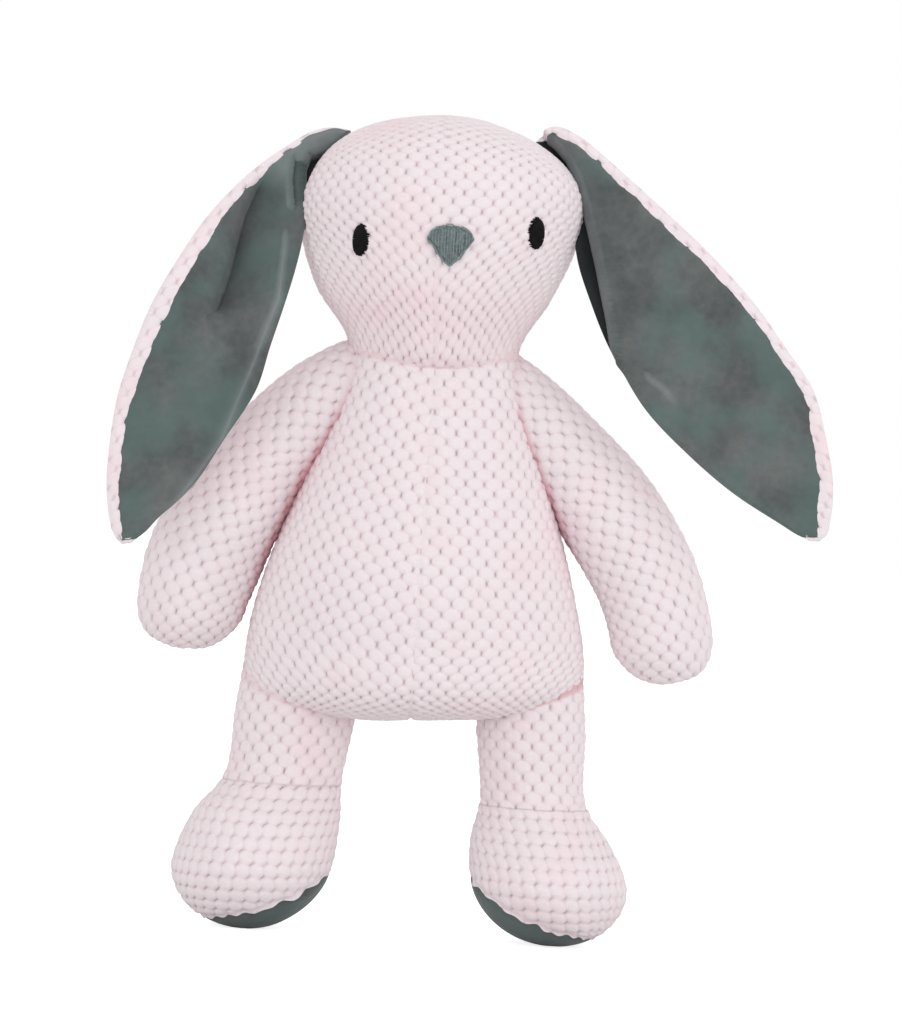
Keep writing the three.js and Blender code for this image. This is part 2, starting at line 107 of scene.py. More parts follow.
def spline(points: np.ndarray, count: int) -> np.ndarray:
    """Samples a smooth line through points.

    Args:
        points: One row of any number of values per station, in order.
        count: How many samples to take, spread by the distance between the stations.

    Returns:
        The samples, one row each, first and last equal to the first and last station.
    """
    gaps = np.linalg.norm(np.diff(points, axis=0), axis=1) ** 0.5
    knots = np.concatenate([[0.0], np.cumsum(np.maximum(gaps, 1e-9))])
    slopes = np.gradient(points, knots, axis=0)
    at = np.linspace(0.0, knots[-1], count)
    index = np.clip(np.searchsorted(knots, at, side="right") - 1, 0, len(knots) - 2)
    span = (knots[index + 1] - knots[index])[:, None]
    share = (at[:, None] - knots[index][:, None]) / span
    return (
        (2 * share**3 - 3 * share**2 + 1) * points[index]
        + (share**3 - 2 * share**2 + share) * span * slopes[index]
        + (3 * share**2 - 2 * share**3) * points[index + 1]
        + (share**3 - share**2) * span * slopes[index + 1]
    )


def resampled(rows: np.ndarray, keys: np.ndarray, at: np.ndarray) -> np.ndarray:
    """Interpolates every column of rows, given at keys, to the values of at."""
    return np.stack([np.interp(at, keys, rows[:, c]) for c in range(rows.shape[1])], axis=1)


@dataclass(frozen=True)
class Station:
    """A ring that a form passes through, in millimetres from the body's middle.

    Attributes:
        centre: X, Y and Z of its centre.
        half_width: Half of its width from side to side.
        half_depth: Half of its depth from front to back.
        squareness: Power of its outline, 2 for an oval and boxier above.
    """

    centre: tuple[float, float, float]
    half_width: float
    half_depth: float
    squareness: float = 2.0


@dataclass(frozen=True)
class Lumps:
    """Soft unevenness of a filled skin, as a few waves in space.

    Attributes:
        height: Largest displacement, in metres.
        length: Mean wave length, in metres.
        seed: Seed of the waves' directions and phases.
        waves: How many waves are summed.
    """

    height: float
    length: float
    seed: int
    waves: int = 7

    def at(self, points: np.ndarray) -> np.ndarray:
        """Returns the displacement at points of shape (..., 3)."""
        random = np.random.default_rng(self.seed)
        total = np.zeros(points.shape[:-1])
        for _ in range(self.waves):
            direction = random.normal(size=3)
            direction /= np.linalg.norm(direction)
            turns = 2 * math.pi / (self.length * random.uniform(0.7, 1.4))
            total += np.sin(points @ direction * turns + random.uniform(0, 2 * math.pi))
        return self.height * total / math.sqrt(self.waves) * 0.7


@dataclass
class Grid:
    """A piece of cloth as a grid of points with its cloth coordinates.

    Attributes:
        points: Positions, of shape (rows, columns, 3).
        cloth: Coordinates on the flat cloth in metres, of shape (rows, columns, 2).
        edge: Distance to the nearest sewn edge in metres, of shape (rows, columns).
        crease: Painted shade in folds, up to 1; below 0, down to -1, the cloth is lightened: on
            velour
        painted highlight and some rubbed nap, on plush softer pits. Of shape (rows, columns).
    """

    points: np.ndarray
    cloth: np.ndarray
    edge: np.ndarray
    crease: np.ndarray

    def normals(self) -> np.ndarray:
        """Unit normals from the grid's own directions, of shape (rows, columns, 3)."""
        down = np.gradient(self.points, axis=0)
        across = np.gradient(self.points, axis=1)
        normal = np.cross(across, down)
        length = np.linalg.norm(normal, axis=-1, keepdims=True)
        return normal / np.maximum(length, 1e-12)

    def push(self, amount: np.ndarray) -> None:
        """Moves every point along its normal by an amount in metres."""
        self.points = self.points + self.normals() * amount[..., None]


def mesh_object(name: str, grids: list[Grid], inside: np.ndarray | None = None) -> Thing:
    """Joins grids into one mesh whose sewn edges are closed.

    Args:
        name: Name of the new object.
        grids: The panels, whose shared edges have the same points.
        inside: A point inside the form, which all faces look away from. None leaves them.

    Returns:
        A new object at the origin with a UV map and the attributes cloth, fade and crease.
    """
    vertices, faces, cloth, edge, crease = [], [], [], [], []
    start = 0
    for grid in grids:
        rows, columns = grid.points.shape[:2]
        index = start + np.arange(rows * columns).reshape(rows, columns)
        quads = np.stack(
            [index[:-1, :-1], index[:-1, 1:], index[1:, 1:], index[1:, :-1]], axis=-1
        ).reshape(-1, 4)
        if inside is not None:
            a, b, c = (grid.points.reshape(-1, 3)[quads[:, k] - start] for k in range(3))
            facing = np.einsum("ij,ij->i", np.cross(b - a, c - a), (a + c) / 2 - inside)
            if facing.sum() < 0:
                quads = quads[:, ::-1]
        vertices.append(grid.points.reshape(-1, 3))
        cloth.append(grid.cloth.reshape(-1, 2))
        edge.append(grid.edge.ravel())
        crease.append(grid.crease.ravel())
        faces.append(quads)
        start += rows * columns
    points = np.concatenate(vertices)
    quads = np.concatenate(faces)
    flat_cloth = np.concatenate(cloth)
    mesh = bpy.data.meshes.new(name)
    mesh.vertices.add(len(points))
    mesh.vertices.foreach_set("co", points.ravel())
    mesh.loops.add(quads.size)
    mesh.loops.foreach_set("vertex_index", quads.ravel())
    mesh.polygons.add(len(quads))
    mesh.polygons.foreach_set("loop_start", np.arange(0, quads.size, 4))
    mesh.polygons.foreach_set("loop_total", np.full(len(quads), 4))
    mesh.update(calc_edges=True)
    uv = mesh.uv_layers.new(name="cloth_uv")
    uv.data.foreach_set("uv", flat_cloth[quads.ravel()].ravel())
    put_attribute(mesh, "cloth", np.c_[flat_cloth, np.zeros(len(flat_cloth))])
    put_attribute(mesh, "fade", smoothstep(0.1 * MM, 1.6 * MM, np.concatenate(edge)))
    put_attribute(mesh, "crease", np.clip(np.concatenate(crease), -1, 1))
    mesh.validate()
    thing = bpy.data.objects.new(name, mesh)
    bpy.context.scene.collection.objects.link(thing)
    close_seams(mesh)
    return thing


def report(thing: Thing) -> None:
    """Logs a finished piece with its number of faces."""
    LOG.info("%s: %d faces", thing.name, len(thing.data.polygons))


def put_attribute(mesh: bpy.types.Mesh, name: str, values: np.ndarray) -> None:
    """Stores one value, or one row of three, per point as a named attribute of a mesh."""
    if values.ndim == 2:
        attribute = mesh.attributes.new(name, "FLOAT_VECTOR", "POINT")
        attribute.data.foreach_set("vector", values.astype(np.float32).ravel())
    else:
        attribute = mesh.attributes.new(name, "FLOAT", "POINT")
        attribute.data.foreach_set("value", values.astype(np.float32))


def weld(grids: list[Grid]) -> None:
    """Brings the shared edges of panels that follow each other round a form together.

    Args:
        grids: The panels in their order round the form, whose first and last rows are its
            two poles.
    """
    for first, second in zip(grids, grids[1:] + grids[:1]):
        middle = (first.points[:, -1] + second.points[:, 0]) / 2
        first.points[:, -1] = middle
        second.points[:, 0] = middle
    for row in (0, -1):
        pole = np.concatenate([grid.points[row] for grid in grids]).mean(axis=0)
        for grid in grids:
            grid.points[row] = pole


def close_seams(mesh: bpy.types.Mesh, reach: float = 0.00003) -> None:
    """Merges points within reach of each other, in metres, and drops collapsed faces."""
    form = bmesh.new()
    form.from_mesh(mesh)
    bmesh.ops.remove_doubles(form, verts=form.verts, dist=reach)
    bmesh.ops.dissolve_degenerate(form, edges=form.edges, dist=1e-7)
    form.to_mesh(mesh)
    form.free()


# Node trees


@dataclass
class NodeScribe:
    """Writes small sums into a shader or geometry node tree.

    Attributes:
        tree: The tree that it writes into.
    """

    tree: bpy.types.NodeTree

    def node(self, kind: str, **settings: object) -> Node:
        """Adds a node of a kind, sets its properties by name and returns it."""
        made = self.tree.nodes.new(kind)
        for key, value in settings.items():
            setattr(made, key, value)
        return made

    def link(self, source: Socket, target: Socket) -> None:
        """Joins two sockets."""
        self.tree.links.new(source, target)

    def feed(self, target: Socket, value: object) -> None:
        """Gives a socket a link or a constant."""
        if isinstance(value, Socket):
            self.link(value, target)
        else:
            target.default_value = value

    def sum(self, operation: str, *values: object) -> Socket:
        """Adds a math node, feeds it links or constants and returns its result."""
        made = self.node("ShaderNodeMath", operation=operation)
        for socket, value in zip(made.inputs, values):
            self.feed(socket, value)
        return made.outputs[0]

    def plus(self, first: object, second: object) -> Socket:
        """Adds two links or constants."""
        return self.sum("ADD", first, second)

    def minus(self, first: object, second: object) -> Socket:
        """Takes the second from the first."""
        return self.sum("SUBTRACT", first, second)

    def times(self, first: object, second: object) -> Socket:
        """Multiplies two links or constants."""
        return self.sum("MULTIPLY", first, second)

    def ramp(self, value: object, low: float, high: float) -> Socket:
        """Maps a value from low to high smoothly onto 0 to 1 and returns the result."""
        made = self.node("ShaderNodeMapRange", interpolation_type="SMOOTHSTEP")
        self.feed(made.inputs["Value"], value)
        made.inputs["From Min"].default_value = low
        made.inputs["From Max"].default_value = high
        return made.outputs["Result"]

    def mix(self, factor: object, first: object, second: object) -> Socket:
        """Mixes two links or colours by the share of the second, 0 to 1."""
        made = self.node("ShaderNodeMix", data_type="RGBA")
        self.feed(made.inputs[0], factor)
        self.feed(made.inputs[6], first)
        self.feed(made.inputs[7], second)
        return made.outputs[2]

    def split(self, vector: Socket) -> tuple[Socket, ...]:
        """Takes a vector apart into its x, y and z."""
        made = self.node("ShaderNodeSeparateXYZ")
        self.link(vector, made.inputs[0])
        return tuple(made.outputs)

    def scaled(self, vector: Socket, factor: Socket) -> Socket:
        """Multiplies a vector or a colour by a number."""
        made = self.node("ShaderNodeVectorMath", operation="SCALE")
        self.link(vector, made.inputs[0])
        self.link(factor, made.inputs["Scale"])
        return made.outputs[0]

    def noise(self, place: Socket, scale: float, detail: float = 2.0) -> Socket:
        """Adds a noise.

        Args:
            place: The coordinates that it is read at.
            scale: How many of its waves fit into one unit, for object coordinates a metre.
            detail: How many finer layers it has.

        Returns:
            Its value, about 0.5 in the mean.
        """
        made = self.node("ShaderNodeTexNoise")
        self.link(place, made.inputs["Vector"])
        made.inputs["Scale"].default_value = scale
        made.inputs["Detail"].default_value = detail
        return made.outputs["Fac"]

    def bump(self, height: Socket, strength: float, distance: float) -> Socket:
        """Adds a bump to a shader tree.

        Args:
            height: How high the surface is, 0 to 1.
            strength: How strongly it is used, 0 to 1.
            distance: How high 1 is, in metres.

        Returns:
            The bent normal.
        """
        made = self.node("ShaderNodeBump")
        made.inputs["Strength"].default_value = strength
        made.inputs["Distance"].default_value = distance
        self.link(height, made.inputs["Height"])
        return made.outputs[0]


@dataclass(frozen=True)
class PopcornWeave:
    """The puffed cells of popcorn plush, drawn in together at short upright pits.

    Attributes:
        cell_width: Distance between pits along a row, in metres.
        row_height: Distance between rows, each shifted by half a cell, in metres.
        puff: Height of a cell over its pits, in metres.
        pit_reach: Half height of a cell over the row height.
        squareness: Power of a cell's outline across, higher for thinner pits.
        pit_width: Half width of a pit over half a cell's width.
        pit_length: Half length of a pit over a cell's half height.
        jitter: Share by which cells differ in height.
    """

    cell_width: float = 8.3 * MM
    row_height: float = 4.35 * MM
    puff: float = 1.5 * MM
    pit_reach: float = 0.8
    squareness: float = 2.4
    pit_width: float = 0.13
    pit_length: float = 0.4
    jitter: float = 0.22

    def cells(
        self, scribe: NodeScribe, s: Socket, t: Socket,
        width: object, row: object, jitter: object,
    ) -> tuple[Socket, Socket, Socket]:
        """Writes the height of the cells and their pits at cloth coordinates.

        Args:
            scribe: Writes into the tree.
            s: Coordinate along the rows.
            t: Coordinate across the rows.
            width: Distance between pits along a row.
            row: Distance between rows.
            jitter: Share by which cells differ.

        Returns:
            The height, 0 to 1, the same before it is rounded off, and the pits, 1 in them.
        """
        across = scribe.sum("DIVIDE", s, width)
        along = scribe.sum("DIVIDE", scribe.sum("DIVIDE", t, row), 2.0)
        heights, pits = [], []
        for shift in (0.0, 0.5):
            u = scribe.plus(across, shift)
            v = scribe.plus(along, shift)
            column = scribe.sum("ROUND", u)
            line = scribe.sum("ROUND", v)
            place = scribe.node("ShaderNodeCombineXYZ")
            scribe.link(column, place.inputs[0])
            scribe.link(line, place.inputs[1])
            place.inputs[2].default_value = shift
            chance = scribe.node("ShaderNodeTexWhiteNoise", noise_dimensions="3D")
            scribe.link(place.outputs[0], chance.inputs["Vector"])
            du = scribe.times(scribe.minus(u, column), 2.0)
            dv = scribe.times(scribe.minus(v, line), 2.0 / self.pit_reach)
            sideways = scribe.sum("POWER", scribe.sum("ABSOLUTE", du), self.squareness)
            round_off = scribe.plus(sideways, scribe.times(dv, dv))
            dome = scribe.minus(1.0, round_off)
            lower = scribe.times(chance.outputs["Value"], jitter)
            heights.append(scribe.times(dome, scribe.minus(1.0, lower)))
            beside = scribe.minus(1.0, scribe.sum("ABSOLUTE", du))
            beside = scribe.sum("DIVIDE", beside, self.pit_width)
            above = scribe.sum("DIVIDE", dv, self.pit_length)
            far = scribe.plus(scribe.times(beside, beside), scribe.times(above, above))
            pits.append(scribe.minus(1.0, far))
        raw = scribe.sum("MAXIMUM", scribe.sum("MAXIMUM", heights[0], heights[1]), 0.0)
        rounded = scribe.times(raw, scribe.minus(2.0, raw))
        pit = scribe.sum("MAXIMUM", scribe.sum("MAXIMUM", pits[0], pits[1]), 0.0)
        return rounded, raw, pit


WEAVE = PopcornWeave()


class FormTree:
    """A geometry node tree with a fabric, whose shape in between a subclass writes."""

    def __init__(self, name: str, numbers: dict[str, float]) -> None:
        """Starts the tree, has its shape written and closes it.

        Args:
            name: Name of the tree.
            numbers: The tree's numeric inputs in order, with their default values.
        """
        self.tree = bpy.data.node_groups.new(name, "GeometryNodeTree")
        face = self.tree.interface
        face.new_socket("Geometry", in_out="INPUT", socket_type="NodeSocketGeometry")
        for label, value in numbers.items():
            socket = face.new_socket(label, in_out="INPUT", socket_type="NodeSocketFloat")
            socket.default_value = value
        face.new_socket("Fabric", in_out="INPUT", socket_type="NodeSocketMaterial")
        face.new_socket("Geometry", in_out="OUTPUT", socket_type="NodeSocketGeometry")
        self.scribe = scribe = NodeScribe(self.tree)
        self.given = given = scribe.node("NodeGroupInput")
        smooth = scribe.node("GeometryNodeSetShadeSmooth")
        scribe.link(self._write(), smooth.inputs["Geometry"])
        whole = scribe.node("GeometryNodeRealizeInstances")
        scribe.link(smooth.outputs[0], whole.inputs[0])
        finish = scribe.node("GeometryNodeSetMaterial")
        scribe.link(whole.outputs[0], finish.inputs["Geometry"])
        scribe.link(given.outputs["Fabric"], finish.inputs["Material"])
        result = scribe.node("NodeGroupOutput")
        scribe.link(finish.outputs[0], result.inputs[0])

    def _write(self) -> Socket:
        """Writes the nodes that make the shape and returns it, not yet smooth and bare."""
        raise NotImplementedError


class PopcornForm(FormTree):
    """The geometry node tree that raises the popcorn cells on a smooth skin."""

    REST_HEIGHT = 0.6
    PIT_DEPTH = 0.12

    def __init__(self) -> None:
        """Starts the tree with the weave's sizes as its inputs."""
        super().__init__("popcorn_form", {
            "Cell width": WEAVE.cell_width,
            "Row height": WEAVE.row_height,
            "Puff": WEAVE.puff,
            "Jitter": WEAVE.jitter,
        })

    def _write(self) -> Socket:
        """Moves every point along its normal by the height of its cell.

        Returns:
            The skin with its cells.
        """
        scribe, given = self.scribe, self.given
        cloth = scribe.node("GeometryNodeInputNamedAttribute", data_type="FLOAT_VECTOR")
        cloth.inputs["Name"].default_value = "cloth"
        s, t, _ = scribe.split(cloth.outputs["Attribute"])
        height, _, pit = WEAVE.cells(
            scribe, s, t,
            given.outputs["Cell width"], given.outputs["Row height"], given.outputs["Jitter"],
        )
        height = scribe.minus(height, scribe.times(pit, self.PIT_DEPTH))
        fade = scribe.node("GeometryNodeInputNamedAttribute", data_type="FLOAT")
        fade.inputs["Name"].default_value = "fade"
        rise = scribe.minus(height, self.REST_HEIGHT)
        rise = scribe.times(rise, given.outputs["Puff"])
        rise = scribe.times(rise, fade.outputs["Attribute"])
        normal = scribe.node("GeometryNodeInputNormal")
        moved = scribe.node("GeometryNodeSetPosition")
        scribe.link(given.outputs["Geometry"], moved.inputs["Geometry"])
        scribe.link(scribe.scaled(normal.outputs[0], rise), moved.inputs["Offset"])
        return moved.outputs[0]

    def apply(self, thing: Thing, **values: object) -> Thing:
        """Runs the tree on an object and keeps the result as its plain mesh.

        Args:
            thing: The smooth skin.
            values: Values of the tree's inputs, by name with underscores for spaces.

        Returns:
            The same object, with the raised mesh and no modifier.
        """
        return run_tree(thing, self.tree, values)


def run_tree(
    thing: Thing, tree: bpy.types.NodeTree, values: dict[str, object]
) -> Thing:
    """Runs a geometry node tree on an object and keeps its result as a plain mesh.

    Args:
        thing: The object, which has no other modifier.
        tree: The tree.
        values: Values of the tree's inputs, by name with underscores for spaces.

    Returns:
        The same object, whose mesh is the tree's result.
    """
    modifier = thing.modifiers.new("form", "NODES")
    modifier.node_group = tree
    sockets = {
        item.name.replace(" ", "_"): item.identifier
        for item in tree.interface.items_tree
        if item.item_type == "SOCKET" and item.in_out == "INPUT"
    }
    for name, value in values.items():
        modifier[sockets[name]] = value
    graph = bpy.context.evaluated_depsgraph_get()
    graph.update()
    result = bpy.data.meshes.new_from_object(
        thing.evaluated_get(graph), preserve_all_data_layers=True, depsgraph=graph
    )
    thing.modifiers.clear()
    old = thing.data
    thing.data = result
    result.name = thing.name
    bpy.data.meshes.remove(old)
    return thing


# Finishes


def linear(red: int, green: int, blue: int) -> Colour:
    """Turns a screen colour, 0 to 255, into the light it stands for, with an alpha of 1."""
    values = []
    for part in (red, green, blue):
        share = part / 255
        values.append(share / 12.92 if share <= 0.04045 else ((share + 0.055) / 1.055) ** 2.4)
    return (*values, 1.0)


def new_material(name: str) -> tuple[Material, NodeScribe, Node]:
    """Starts a material with a principled shader.

    Args:
        name: Name of the material.

    Returns:
        The material, a scribe for its tree and its shader node.
    """
    material = bpy.data.materials.new(name)
    material.use_nodes = True
    tree = material.node_tree
    shader = tree.nodes["Principled BSDF"]
    return material, NodeScribe(tree), shader


def set_nap(shader: Node, roughness: float, sheen: float, sheen_roughness: float) -> None:
    """Gives a shader the soft surface of a napped cloth.

    Args:
        shader: The principled shader.
        roughness: Roughness of the nap.
        sheen: Strength of the nap's bright edge.
        sheen_roughness: How far that edge spreads.
    """
    shader.inputs["Roughness"].default_value = roughness
    shader.inputs["Specular IOR Level"].default_value = 0.1
    shader.inputs["Sheen Weight"].default_value = sheen
    shader.inputs["Sheen Roughness"].default_value = sheen_roughness


def crease_parts(scribe: NodeScribe) -> tuple[Socket, Socket]:
    """Reads the crease attribute: above 0 painted shade in folds, below 0 lightening.

    Args:
        scribe: Writes into the material's tree.

    Returns:
        The share of painted shade and the share of lightening, each 0 to 1.
    """
    crease = scribe.node("ShaderNodeAttribute", attribute_name="crease").outputs["Fac"]
    painted_shade_share = scribe.sum("MAXIMUM", crease, 0.0)
    lightened = scribe.sum("MAXIMUM", scribe.times(crease, -1.0), 0.0)
    return painted_shade_share, lightened


@dataclass(frozen=True)
class PlushFinish:
    """Pale pink popcorn plush, with painted shade between its cells and in its folds.

    Attributes:
        name: Name of the material.
        top: Colour of the puffed cells.
        net_shade: Painted shade on the lines where cells meet, darkening each cell's edge.
        pit: Painted shade in the pits between them.
        blush: Colour of pinker patches of the cloth.
        fold: Painted shade deep in a fold, pink where the cloth lights itself.
        roughness: Roughness of the nap.
        sheen: Strength of the nap's bright edge.
        nap_scale: Scale of the nap's fine noise, per metre.
        patch_scale: Scale of the pinker patches.
        pit_scale: Scale at which the pits are clearer or fainter.
        patch_shade: How much lighter the patches are.
        nap_shade: How much lighter the ends of the nap are.
    """

    name: str = "popcorn_plush"
    top: Colour = linear(244, 233, 236)
    net_shade: Colour = linear(236, 219, 224)
    pit: Colour = linear(201, 188, 193)
    blush: Colour = linear(243, 224, 229)
    fold: Colour = linear(214, 142, 152)
    roughness: float = 0.95
    sheen: float = 0.25
    nap_scale: float = 1400.0
    patch_scale: float = 34.0
    pit_scale: float = 120.0
    patch_shade: float = 0.08
    nap_shade: float = 0.10

    def build(self) -> Material:
        """Writes the material, which reads the UV map and the crease attribute."""
        material, scribe, shader = new_material(self.name)
        uv = scribe.node("ShaderNodeUVMap", uv_map="cloth_uv")
        s, t, _ = scribe.split(uv.outputs[0])
        height, raw, pit = WEAVE.cells(
            scribe, s, t, WEAVE.cell_width, WEAVE.row_height, WEAVE.jitter
        )
        place = scribe.node("ShaderNodeTexCoord").outputs["Object"]
        nap = scribe.noise(place, self.nap_scale, 3.0)
        patch = scribe.noise(place, self.patch_scale)
        uneven = scribe.noise(place, self.pit_scale)
        painted_shade_share, soft = crease_parts(scribe)
        clear = scribe.minus(1.0, soft)
        clear = scribe.times(clear, scribe.ramp(uneven, 0.2, 0.62))
        puffed = scribe.mix(scribe.ramp(patch, 0.48, 0.8), self.top, self.blush)
        # Painted shade: each cell darkens from its lit dome towards the net where cells meet.
        cells = scribe.mix(scribe.ramp(raw, 0.1, 0.55), self.net_shade, puffed)
        # Painted shade in the pits, fainter where the pits are soft.
        pit_shade = scribe.times(scribe.ramp(pit, 0.0, 0.9), clear)
        cells = scribe.mix(pit_shade, cells, self.pit)
        # Painted shade deep in folds, pink where the cloth lights itself.
        fold_shading = scribe.mix(painted_shade_share, cells, self.fold)
        shade = scribe.plus(scribe.times(patch, self.patch_shade), 0.94)
        fleck = scribe.plus(scribe.times(nap, self.nap_shade), 0.95)
        tone = scribe.scaled(fold_shading, scribe.times(shade, fleck))
        scribe.link(tone, shader.inputs["Base Color"])
        set_nap(shader, self.roughness, self.sheen, 0.5)
        rise = scribe.times(height, 0.6)
        rise = scribe.minus(rise, scribe.times(pit, 0.3))
        rise = scribe.plus(rise, scribe.times(nap, 0.35))
        scribe.link(scribe.bump(rise, 0.55, 0.6 * MM), shader.inputs["Normal"])
        return material


@dataclass(frozen=True)
class VelourFinish:
    """Grey velour with a crushed nap.

    Attributes:
        name: Name of the material.
        dark: Colour where the nap lies away.
        light: Colour where it lies towards the light.
        cool: Tint of the cooler patches.
        deep: Painted shade deep in a fold, where the crease attribute is above 0.
        highlight_and_wear: Colour of the lighter lines, where the crease attribute is below 0:
        painted highlight along ridges, in places also rubbed nap.
        roughness: Roughness of the nap.
        sheen: Strength of the nap's bright edge.
        broad_scale: Scale of the crushed areas, per metre.
        cool_scale: Scale of the cooler patches.
        mottle_scale: Scale of the mottling.
        nap_scale: Scale of the nap's fine noise.
    """

    name: str = "grey_velour"
    dark: Colour = linear(77, 82, 82)
    light: Colour = linear(114, 119, 118)
    cool: Colour = linear(94, 116, 112)
    deep: Colour = linear(26, 30, 31)
    highlight_and_wear: Colour = linear(168, 174, 177)
    roughness: float = 0.9
    sheen: float = 0.3
    broad_scale: float = 42.0
    cool_scale: float = 30.0
    mottle_scale: float = 330.0
    nap_scale: float = 2200.0

    def build(self) -> Material:
        """Writes the material, which reads object coordinates and the crease attribute."""
        material, scribe, shader = new_material(self.name)
        place = scribe.node("ShaderNodeTexCoord").outputs["Object"]
        broad = scribe.ramp(scribe.noise(place, self.broad_scale, 3.0), 0.3, 0.7)
        cooler = scribe.ramp(scribe.noise(place, self.cool_scale), 0.42, 0.6)
        mottle = scribe.ramp(scribe.noise(place, self.mottle_scale, 4.0), 0.3, 0.7)
        nap = scribe.noise(place, self.nap_scale)
        mixed = scribe.times(broad, 0.6)
        mixed = scribe.plus(mixed, scribe.times(mottle, 0.2))
        mixed = scribe.plus(mixed, scribe.times(nap, 0.2))
        base = scribe.mix(mixed, self.dark, self.light)
        base = scribe.mix(scribe.times(cooler, 0.6), base, self.cool)
        # Painted shade deep in folds, then the lighter lines: painted highlight along ridges, in
        # places rubbed nap.
        painted_shade_share, lightened = crease_parts(scribe)
        base = scribe.mix(painted_shade_share, base, self.deep)
        scribe.link(scribe.mix(lightened, base, self.highlight_and_wear), shader.inputs["Base Color"])
        set_nap(shader, self.roughness, self.sheen, 0.4)
        scribe.link(scribe.bump(mixed, 0.5, 0.3 * MM), shader.inputs["Normal"])
        return material


@dataclass(frozen=True)
class ThreadFinish:
    """Embroidery thread with a soft gloss.

    Attributes:
        name: Name of the material.
        colour: Colour of the thread's lit side.
        roughness: Roughness of the thread.
        gloss: Strength of its highlights, 0 to 1.
        twist_scale: Scale of its darker strands, per metre.
        twist_shade: How dark these are, as a share of the colour.
    """

    name: str
    colour: Colour
    roughness: float = 0.42
    gloss: float = 0.5
    twist_scale: float = 900.0
    twist_shade: float = 0.62

    def build(self) -> Material:
        """Writes the material."""
        material, scribe, shader = new_material(self.name)
        place = scribe.node("ShaderNodeTexCoord").outputs["Object"]
        twist = scribe.noise(place, self.twist_scale)
        dark = tuple(part * self.twist_shade for part in self.colour[:3]) + (1.0,)
        tone = scribe.mix(scribe.ramp(twist, 0.3, 0.65), dark, self.colour)
        scribe.link(tone, shader.inputs["Base Color"])
        shader.inputs["Roughness"].default_value = self.roughness
        shader.inputs["Specular IOR Level"].default_value = self.gloss
        return material


# Forms


@dataclass(frozen=True)
class Panel:
    """The part of a form's rings that one panel of cloth covers.

    Attributes:
        start: Angle where the panel begins, in degrees; -90 is the front.
        end: Angle where it ends.
        reference: Angle that the cloth is measured from.
        tilt: How far the rows fall away from the reference, in degrees.
        lean: How far the pits lean from upright, in degrees.
    """

    start: float
    end: float
    reference: float
    tilt: float = 0.0
    lean: float = 0.0


